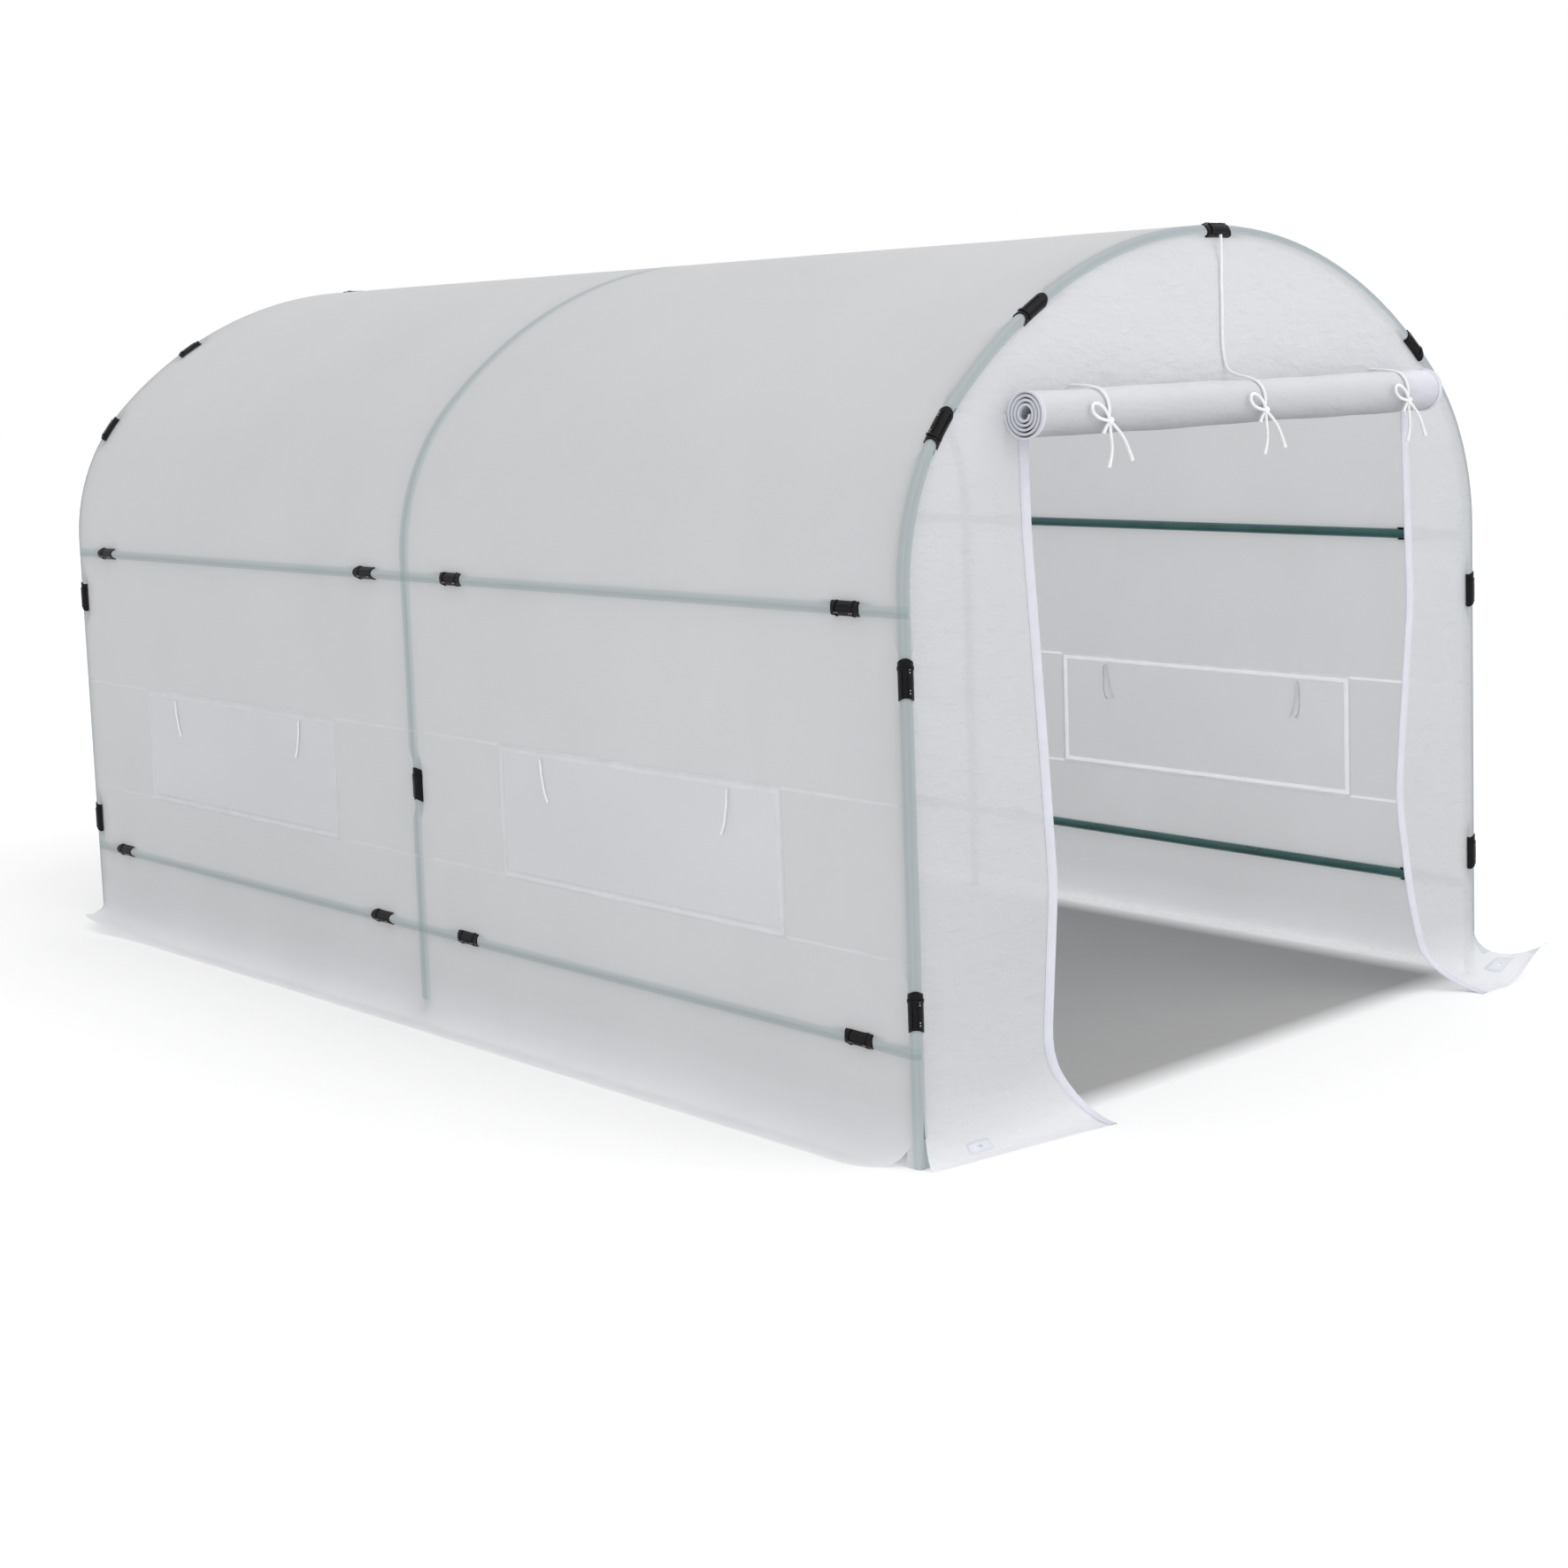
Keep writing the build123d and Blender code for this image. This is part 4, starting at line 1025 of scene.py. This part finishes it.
def wall_sheet(name, side, off, y_range, z_range, material, seed, size=0.0, step=0.02):
    """Upright sheet along a side wall, off from the tube's centre line."""
    ys, zs = (np.linspace(low, high, max(int((high - low) / step), 2) + 1) for low, high in (y_range, z_range))
    y, z = (a.ravel() for a in np.meshgrid(ys, zs, indexing="ij"))
    inside = np.minimum(np.minimum(y - ys[0], ys[-1] - y), np.minimum(z - zs[0], zs[-1] - z))
    x = HALF_SPAN + off + size * waves(y, z, seed, 0.3) * smooth_step(inside / 0.06)
    faces = grid_faces(len(ys), len(zs))
    flat = np.stack((y, z), -1)
    if side > 0:
        faces = [f[::-1] for f in faces]
    return add_mesh(name, np.stack((side * x, y, z), -1), faces, material, flat)


def weld_seams():
    """Narrow raised seams along the side walls at the windows' top and bottom."""
    seams = []
    for side, hand in HANDS.items():
        for z, place in ((WINDOW_TOP_Z, "upper"), (WINDOW_BOTTOM_Z, "lower")):
            y_range, z_range = (-HOOP_Y, HOOP_Y), (z - SEAM_WIDTH / 2, z + SEAM_WIDTH / 2)
            seam = wall_sheet(f"{hand}_seam_{place}", side, SEAM_OFF, y_range, z_range, SEAM, 1, step=0.0034)
            seams.append(dress(seam, "film"))
    return seams


# Rings of a window's hem: how far each laps past the window's edge, and its height
HEM_RINGS = ((0.0035, 0.0), (0.003, 0.0014), (-0.5 * WINDOW_HEM, 0.0022), (-WINDOW_HEM, 0.0016),
             (-WINDOW_HEM - 0.0004, 0.0006))


def window_frame(name, side, y_range, z_range):
    """Flat hem round a window, with a rounded outer edge that laps the cover a little."""
    outline = []
    for lap, lift in HEM_RINGS:
        low_y, high_y = y_range[0] - lap, y_range[1] + lap
        low_z, high_z = z_range[0] - lap, z_range[1] + lap
        ring = [(y, low_z) for y in np.linspace(low_y, high_y, 41)[:-1]]
        ring += [(high_y, z) for z in np.linspace(low_z, high_z, 15)[:-1]]
        ring += [(y, high_z) for y in np.linspace(high_y, low_y, 41)[:-1]]
        ring += [(low_y, z) for z in np.linspace(high_z, low_z, 15)[:-1]]
        outline.append([(side * (HALF_SPAN + FLAP_OFF - 0.001 + lift), y, z) for y, z in ring])
    vertices = [p for ring in outline for p in ring]
    faces = ring_faces(len(outline), len(outline[0]))
    return dress(add_mesh(name, vertices, faces, SEAM), "hem", "window_flaps")


def add_windows():
    heights = (WINDOW_BOTTOM_Z, WINDOW_TOP_Z)
    for side, hand in HANDS.items():
        for way, end in ENDS.items():
            middle = way * HOOP_Y / 2
            ys = (middle - WINDOW_WIDTH / 2, middle + WINDOW_WIDTH / 2)
            name = f"{hand}_{end}_window"
            edging = window_frame(name + "_hem", side, ys, heights)
            inner = [(low + WINDOW_HEM, high - WINDOW_HEM) for low, high in (ys, heights)]
            seed = side + 3 * way
            flap = wall_sheet(name + "_flap", side, FLAP_OFF, *inner, FLAP_FILM, 40 + seed, FLAP_SLACK)
            dress(flap, "film", "window_flaps")
            net = wall_sheet(name + "_net", side, NET_OFF, *inner, NET, 50 + seed, NET_SLACK)
            dress(net, "net", "window_nets")


# Rolled-up door

def roll_path(step=10):
    """Angle, radius, and middle of the rolled film's section, from its free end at the back inwards."""
    path = []
    for count in range(ROLL_HALF_TURNS):
        radius = ROLL_RADIUS - ROLL_STEP * count
        middle = ROLL_Y + (ROLL_STEP / 2 if count % 2 == 0 else -ROLL_STEP / 2)
        for degrees in range(0 if count == 0 else step, 181, step):
            path.append((math.radians(degrees + 180 * count), radius, middle))
    return path


def roll_point(x, angle, radius, middle, off=0.0):
    """The roll turns from its back down, forward and up."""
    swell = sum(size * math.sin(along * x + around * angle + start) for size, along, around, start in ROLL_SWELLS)
    swell -= ROLL_SHRINK
    radius += off + swell * min((ROLL_HALF - abs(x)) / 0.03 + 0.2, 1)
    return (x, middle + radius * math.cos(angle), ROLL_Z - radius * math.sin(angle))


# Painted light and shade of the roll, a factor on its colour from its darker underside to its lighter top, and the
# section of the white edging of each layer's end: how far in from the end, and off the layer
ROLL_PAINTED_SHADE = ((-1.0, -0.3, 0.3, 1.0), (0.62, 0.86, 0.97, 1.16))
RIM_SECTION = ((0.012, 0.0012), (0.001, 0.0027), (0.0, 0.0), (0.001, -0.0027), (0.012, -0.0012))


def add_roll():
    path = roll_path()
    xs = np.linspace(-ROLL_HALF, ROLL_HALF, 61)
    lengths = np.cumsum([0] + [abs(b[0] - a[0]) * b[1] for a, b in zip(path, path[1:])])
    points = [roll_point(x, *place) for place in path for x in xs]
    flat = np.array([(x, length) for length in lengths for x in xs])
    side = np.zeros((len(points), 3))
    side[:, 2] = smooth_step((flat[:, 0] - ROLL_LILAC_FROM) / 0.02)
    # Painted light and shade: the roll's colour darker where it faces down and lighter where it faces up
    rise = np.array([-math.sin(angle) for angle, _, _ in path for _ in xs])
    near = np.stack((np.full_like(rise, FAR), np.full_like(rise, FAR), np.interp(rise, *ROLL_PAINTED_SHADE)), -1)
    roll = add_mesh("door_roll_film", points, grid_faces(len(path), len(xs)), ROLL_FILM, flat, near, side)
    dress(roll, "film", "door_roll")
    for end, hand in HANDS.items():
        vertices = []
        for place in path:
            for inward, off in RIM_SECTION:
                vertices.append(roll_point(end * (ROLL_HALF + 0.0004 - inward), *place, off=off))
        rim = add_mesh("door_roll_rim_" + hand, vertices, grid_faces(len(path), len(RIM_SECTION)), HEM)
        dress(rim, "hem", "door_roll")


# Cords

def in_metres(points):
    return [tuple(c / 1000 for c in p) for p in points]


def on_roll(x, across, up, lift=0.0):
    """Point against the roll, across and up from where a knot sits, hanging straight below its lower front."""
    off = CORD_OFF_ROLL + lift
    height = up - KNOT_BELOW_AXIS
    angle = max(math.asin(max(height / off, -1)), -math.radians(HANG_ANGLE))
    return (x + across, BEARING_Y - off * math.cos(angle), 1000 * ROLL_Z + height)


def over_roll(x, rise):
    """From the gable over the top of the roll to its knot."""
    back = CORD_Y - BEARING_Y
    first = math.atan2(rise, -back) - math.acos(CORD_OFF_ROLL / math.hypot(back, rise))
    last = -math.asin(KNOT_BELOW_AXIS / CORD_OFF_ROLL)
    step = (first - last) / 3
    reach = CORD_OFF_ROLL / math.cos(step / 2)
    points = [(x, CORD_Y, 1000 * ROLL_Z + rise)]
    for count in range(3):
        angle = first - (count + 0.5) * step
        points.append((x, BEARING_Y - reach * math.cos(angle), 1000 * ROLL_Z + reach * math.sin(angle)))
    return points + [on_roll(x, 0, 0)]


def add_cord(name, route, diameter, cad_node, frayed=False, material=CORD):
    curve = bpy.data.curves.new(name, "CURVE")
    curve.dimensions = "3D"
    curve.bevel_depth = diameter / 2
    curve.bevel_resolution = 3
    curve.use_fill_caps = True
    curve.resolution_u = 8
    spline = curve.splines.new("NURBS")
    spline.points.add(len(route) - 1)
    for point, place in zip(spline.points, route):
        point.co = (*place, 1)
    if frayed:
        spline.points[-1].radius = FRAY
    spline.order_u = 3
    spline.use_endpoint_u = True
    curve.materials.append(material)
    piece = bpy.data.objects.new(name, curve)
    bpy.context.scene.collection.objects.link(piece)
    dress(piece, "cord", cad_node)


def add_knot(name, centre, cad_node):
    """Tight overhand knot: a tube round a trefoil."""
    turns = np.linspace(0, 2 * math.pi, 73)[:-1]
    line = np.stack((np.sin(turns) + 2 * np.sin(2 * turns), -0.9 * np.sin(3 * turns),
                     np.cos(turns) - 2 * np.cos(2 * turns)), -1) * KNOT_RADIUS / 4.2
    ahead = np.roll(line, -1, axis=0) - np.roll(line, 1, axis=0)
    ahead /= np.linalg.norm(ahead, axis=1)[:, None]
    across = np.cross(ahead, line + (0, 1e-4, 0))
    across /= np.linalg.norm(across, axis=1)[:, None]
    rise = np.cross(ahead, across)
    vertices, faces = [], []
    for place, a, b in zip(line, across, rise):
        for step in range(KNOT_SIDES):
            angle = 2 * math.pi * step / KNOT_SIDES
            ring = a * math.cos(angle) + b * math.sin(angle)
            vertices.append(np.array(centre) + place + KNOT_CORD_RADIUS * ring)
    for row in range(len(line)):
        here, after = row * KNOT_SIDES, (row + 1) % len(line) * KNOT_SIDES
        for step in range(KNOT_SIDES):
            beside = (step + 1) % KNOT_SIDES
            faces.append((here + step, here + beside, after + beside, after + step))
    return dress(add_mesh(name, vertices, faces, CORD), "cord", cad_node)


def add_cords():
    for title, x in DOOR_TIE_XS.items():
        cad_node = "door_tie_" + title
        knot = add_knot(cad_node + "_knot", in_metres([on_roll(x, 0, 0, KNOT_LIFT)])[0], cad_node)
        strand = over_roll(x, TIE_ANCHOR_RISE)
        if title == "middle":
            strand = [(across, CORD_Y, 1000 * APEX_Z - fall) for across, fall in LONG_CORD]
            strand += over_roll(x, LONG_CORD_RISE)
        add_cord(cad_node + "_strand", in_metres(strand), DOOR_CORD, cad_node)
        for part, places in BOW.items():
            route = in_metres([on_roll(x, across, up, KNOT_LIFT) for across, up in places])
            add_cord(f"{cad_node}_{part}", route, DOOR_CORD, cad_node, True)
    for side, hand in HANDS.items():
        for bay, bay_name in ENDS.items():
            for end, end_name in ((-1, "a"), (1, "b")):
                for layer, (off, route) in WINDOW_TIES.items():
                    x, y = side * (1000 * HALF_SPAN + off), 500 * bay * HOOP_Y + end * WINDOW_TIE_APART
                    places = [(x, y - end * across, WINDOW_TIE_TOP - down) for across, down in route]
                    add_cord(f"{hand}_{bay_name}_tie_{end_name}_{layer}", in_metres(places), WINDOW_CORD,
                             hand + "_window_ties", True,
                             material=SEAM if layer == "inside" else CORD)


# Raised marks on the clips: two ribs along each, a collar near the closed end and two pairs of studs low down

CLIP_RADIUS = 0.0172
COLLAR_AT = 0.0255
COLLAR_ANGLES = range(-66, 67, 12)
RIB_AT = 0.004
RIB, COLLAR = (0.056, 0.0016, 0.0016), (0.0045, 0.0018, 0.0044)
STUD_PLACES = (-0.0225, -0.0165, 0.0195, 0.0255)
# Rings of a stud: radius and height, below its tip
STUD_RINGS = ((0.0017, -0.0006), (0.0016, 0.0005), (0.0009, 0.0011))
STUD_TIP = 0.0012
STUD_SIDES = 10
BOX_FACES = ((0, 1, 3, 2), (4, 6, 7, 5), (0, 4, 5, 1), (2, 3, 7, 6), (0, 2, 6, 4), (1, 5, 7, 3))


def clip_marks():
    vertices, faces, studs = [], [], set()

    def add_box(centre, along, out, across, size):
        first = len(vertices)
        for i in (-1, 1):
            for j in (-1, 1):
                for k in (-1, 1):
                    corner = centre + along * (i * size[0] / 2) + out * (j * size[1] / 2)
                    vertices.append(corner + across * (k * size[2] / 2))
        faces.extend(tuple(first + c for c in f) for f in BOX_FACES)

    def add_stud(centre, out, along, across):
        first, before = len(vertices), len(faces)
        for reach, rise in STUD_RINGS:
            for step in range(STUD_SIDES):
                angle = 2 * math.pi * step / STUD_SIDES
                round_it = along * math.cos(angle) + across * math.sin(angle)
                vertices.append(centre + out * rise + round_it * reach)
        vertices.append(centre + out * STUD_TIP)
        faces.extend(ring_faces(len(STUD_RINGS), STUD_SIDES, first))
        tip = len(vertices) - 1
        top = tip - STUD_SIDES
        faces.extend((top + step, top + (step + 1) % STUD_SIDES, tip) for step in range(STUD_SIDES))
        studs.update(faces[before:])

    for centre, along, out, turn in CLIP_FRAMES:
        centre, along, out = (np.array(a, float) for a in (centre, along, out))
        across = np.cross(along, out)

        def turned(degrees):
            angle = math.radians(degrees)
            away = out * math.cos(angle) + across * math.sin(angle)
            return away, np.cross(along, away)

        for degrees in (turn * 0.55, -turn * 0.9):
            away, sideways = turned(degrees)
            add_box(centre + away * CLIP_RADIUS + along * RIB_AT, along, away, sideways, RIB)
        for degrees in COLLAR_ANGLES:
            away, sideways = turned(degrees)
            add_box(centre + away * CLIP_RADIUS - along * COLLAR_AT, along, away, sideways, COLLAR)
        away, sideways = turned(turn)
        for place in STUD_PLACES:
            add_stud(centre + away * CLIP_RADIUS + along * place, away, along, sideways)
    piece = add_mesh("clip_marks", vertices, faces, CLIP, smooth=False)
    piece.data.materials.append(STUD)
    piece.data.polygons.foreach_set("material_index", [int(f in studs) for f in faces])
    dress(piece, "clip")


# Floor and light

# The open floor's white; the painted shadow under the cover: its grey, its half sizes and its soft edge; and the open
# floor's extra glow for the camera alone
OPEN_FLOOR = (1.0, 1.0, 1.0)
PAINTED_SHADOW_FLOOR = (0.44, 0.44, 0.44)
OPEN_GLOW = 0.08
PAINTED_SHADOW_HALVES = (0.985, 1.70)
PAINTED_SHADOW_EDGE = 0.05
FLOOR_REACH = 60.0
SKY = 0.72
# Soft lamps: strength, width in degrees, and turn from straight down
LAMPS = (("front_lamp", 0.7, 60, (52, 0, 18)), ("top_lamp", 0.5, 90, (8, -10, 0)))


def add_floor():
    """White floor with a painted shadow, greyer under the cover; its open part is a little brighter for the camera
    alone.
    """
    material, tree = new_material("floor")
    place = tree.nodes.new("ShaderNodeSeparateXYZ")
    link(tree, tree.nodes.new("ShaderNodeNewGeometry").outputs["Position"], place.inputs[0])
    # Share of the painted shadow: 1 under the cover, fading to 0 across its soft edge
    shares = []
    for axis, half in zip(("X", "Y"), PAINTED_SHADOW_HALVES):
        away = math_node(tree, "ABSOLUTE", place.outputs[axis], 0.0)
        shares.append(ranged(tree, away, half + PAINTED_SHADOW_EDGE, half - PAINTED_SHADOW_EDGE))
    share = math_node(tree, "MULTIPLY", *shares)
    ground = tree.nodes.new("ShaderNodeBsdfDiffuse")
    link(tree, mixed(tree, share, OPEN_FLOOR, PAINTED_SHADOW_FLOOR), ground.inputs["Color"])
    path = tree.nodes.new("ShaderNodeLightPath")
    glow = tree.nodes.new("ShaderNodeEmission")
    bare = math_node(tree, "SUBTRACT", 1.0, share)
    seen = math_node(tree, "MULTIPLY", bare, OPEN_GLOW)
    strength = math_node(tree, "MULTIPLY", seen, path.outputs["Is Camera Ray"])
    link(tree, strength, glow.inputs["Strength"])
    whole = tree.nodes.new("ShaderNodeAddShader")
    link(tree, ground.outputs[0], whole.inputs[0])
    link(tree, glow.outputs[0], whole.inputs[1])
    output(tree, whole)
    mesh = bpy.data.meshes.new("floor")
    corners = [(x * FLOOR_REACH, y * FLOOR_REACH, 0) for x, y in ((-1, -1), (1, -1), (1, 1), (-1, 1))]
    mesh.from_pydata(corners, [], [(0, 1, 2, 3)])
    mesh.materials.append(material)
    floor = bpy.data.objects.new("floor", mesh)
    bpy.context.scene.collection.objects.link(floor)


def add_light():
    world = bpy.data.worlds.new("world")
    world.use_nodes = True
    tree = world.node_tree
    tree.nodes.clear()
    path = tree.nodes.new("ShaderNodeLightPath")
    seen = math_node(tree, "MAXIMUM", path.outputs["Is Camera Ray"], path.outputs["Is Glossy Ray"])
    seen = math_node(tree, "MAXIMUM", seen, path.outputs["Is Transmission Ray"])
    strength = node(tree, "ShaderNodeMapRange", To_Min=SKY, To_Max=1.0)
    link(tree, seen, strength.inputs["Value"])
    background = node(tree, "ShaderNodeBackground", Color=(1, 1, 1, 1))
    link(tree, strength.outputs[0], background.inputs["Strength"])
    link(tree, background.outputs[0], tree.nodes.new("ShaderNodeOutputWorld").inputs["Surface"])
    bpy.context.scene.world = world
    for name, strength, angle, turn in LAMPS:
        data = bpy.data.lights.new(name, "SUN")
        data.energy = strength
        data.angle = math.radians(angle)
        lamp = bpy.data.objects.new(name, data)
        lamp.rotation_euler = [math.radians(a) for a in turn]
        bpy.context.scene.collection.objects.link(lamp)


def finish_cad():
    """Materials of the CAD nodes that are shown as they are: the frame and its clips."""
    for name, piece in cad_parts.items():
        if not piece.hide_render:
            piece.data.materials.clear()
            piece.data.materials.append(CLIP if "clips" in name else TUBE)


add_camera()
add_floor()
add_light()
cover_film()
front_film()
back_film()
add_windows()
add_cords()
add_roll()
clip_marks()
finish_cad()
bpy.context.scene.view_settings.view_transform = "Standard"
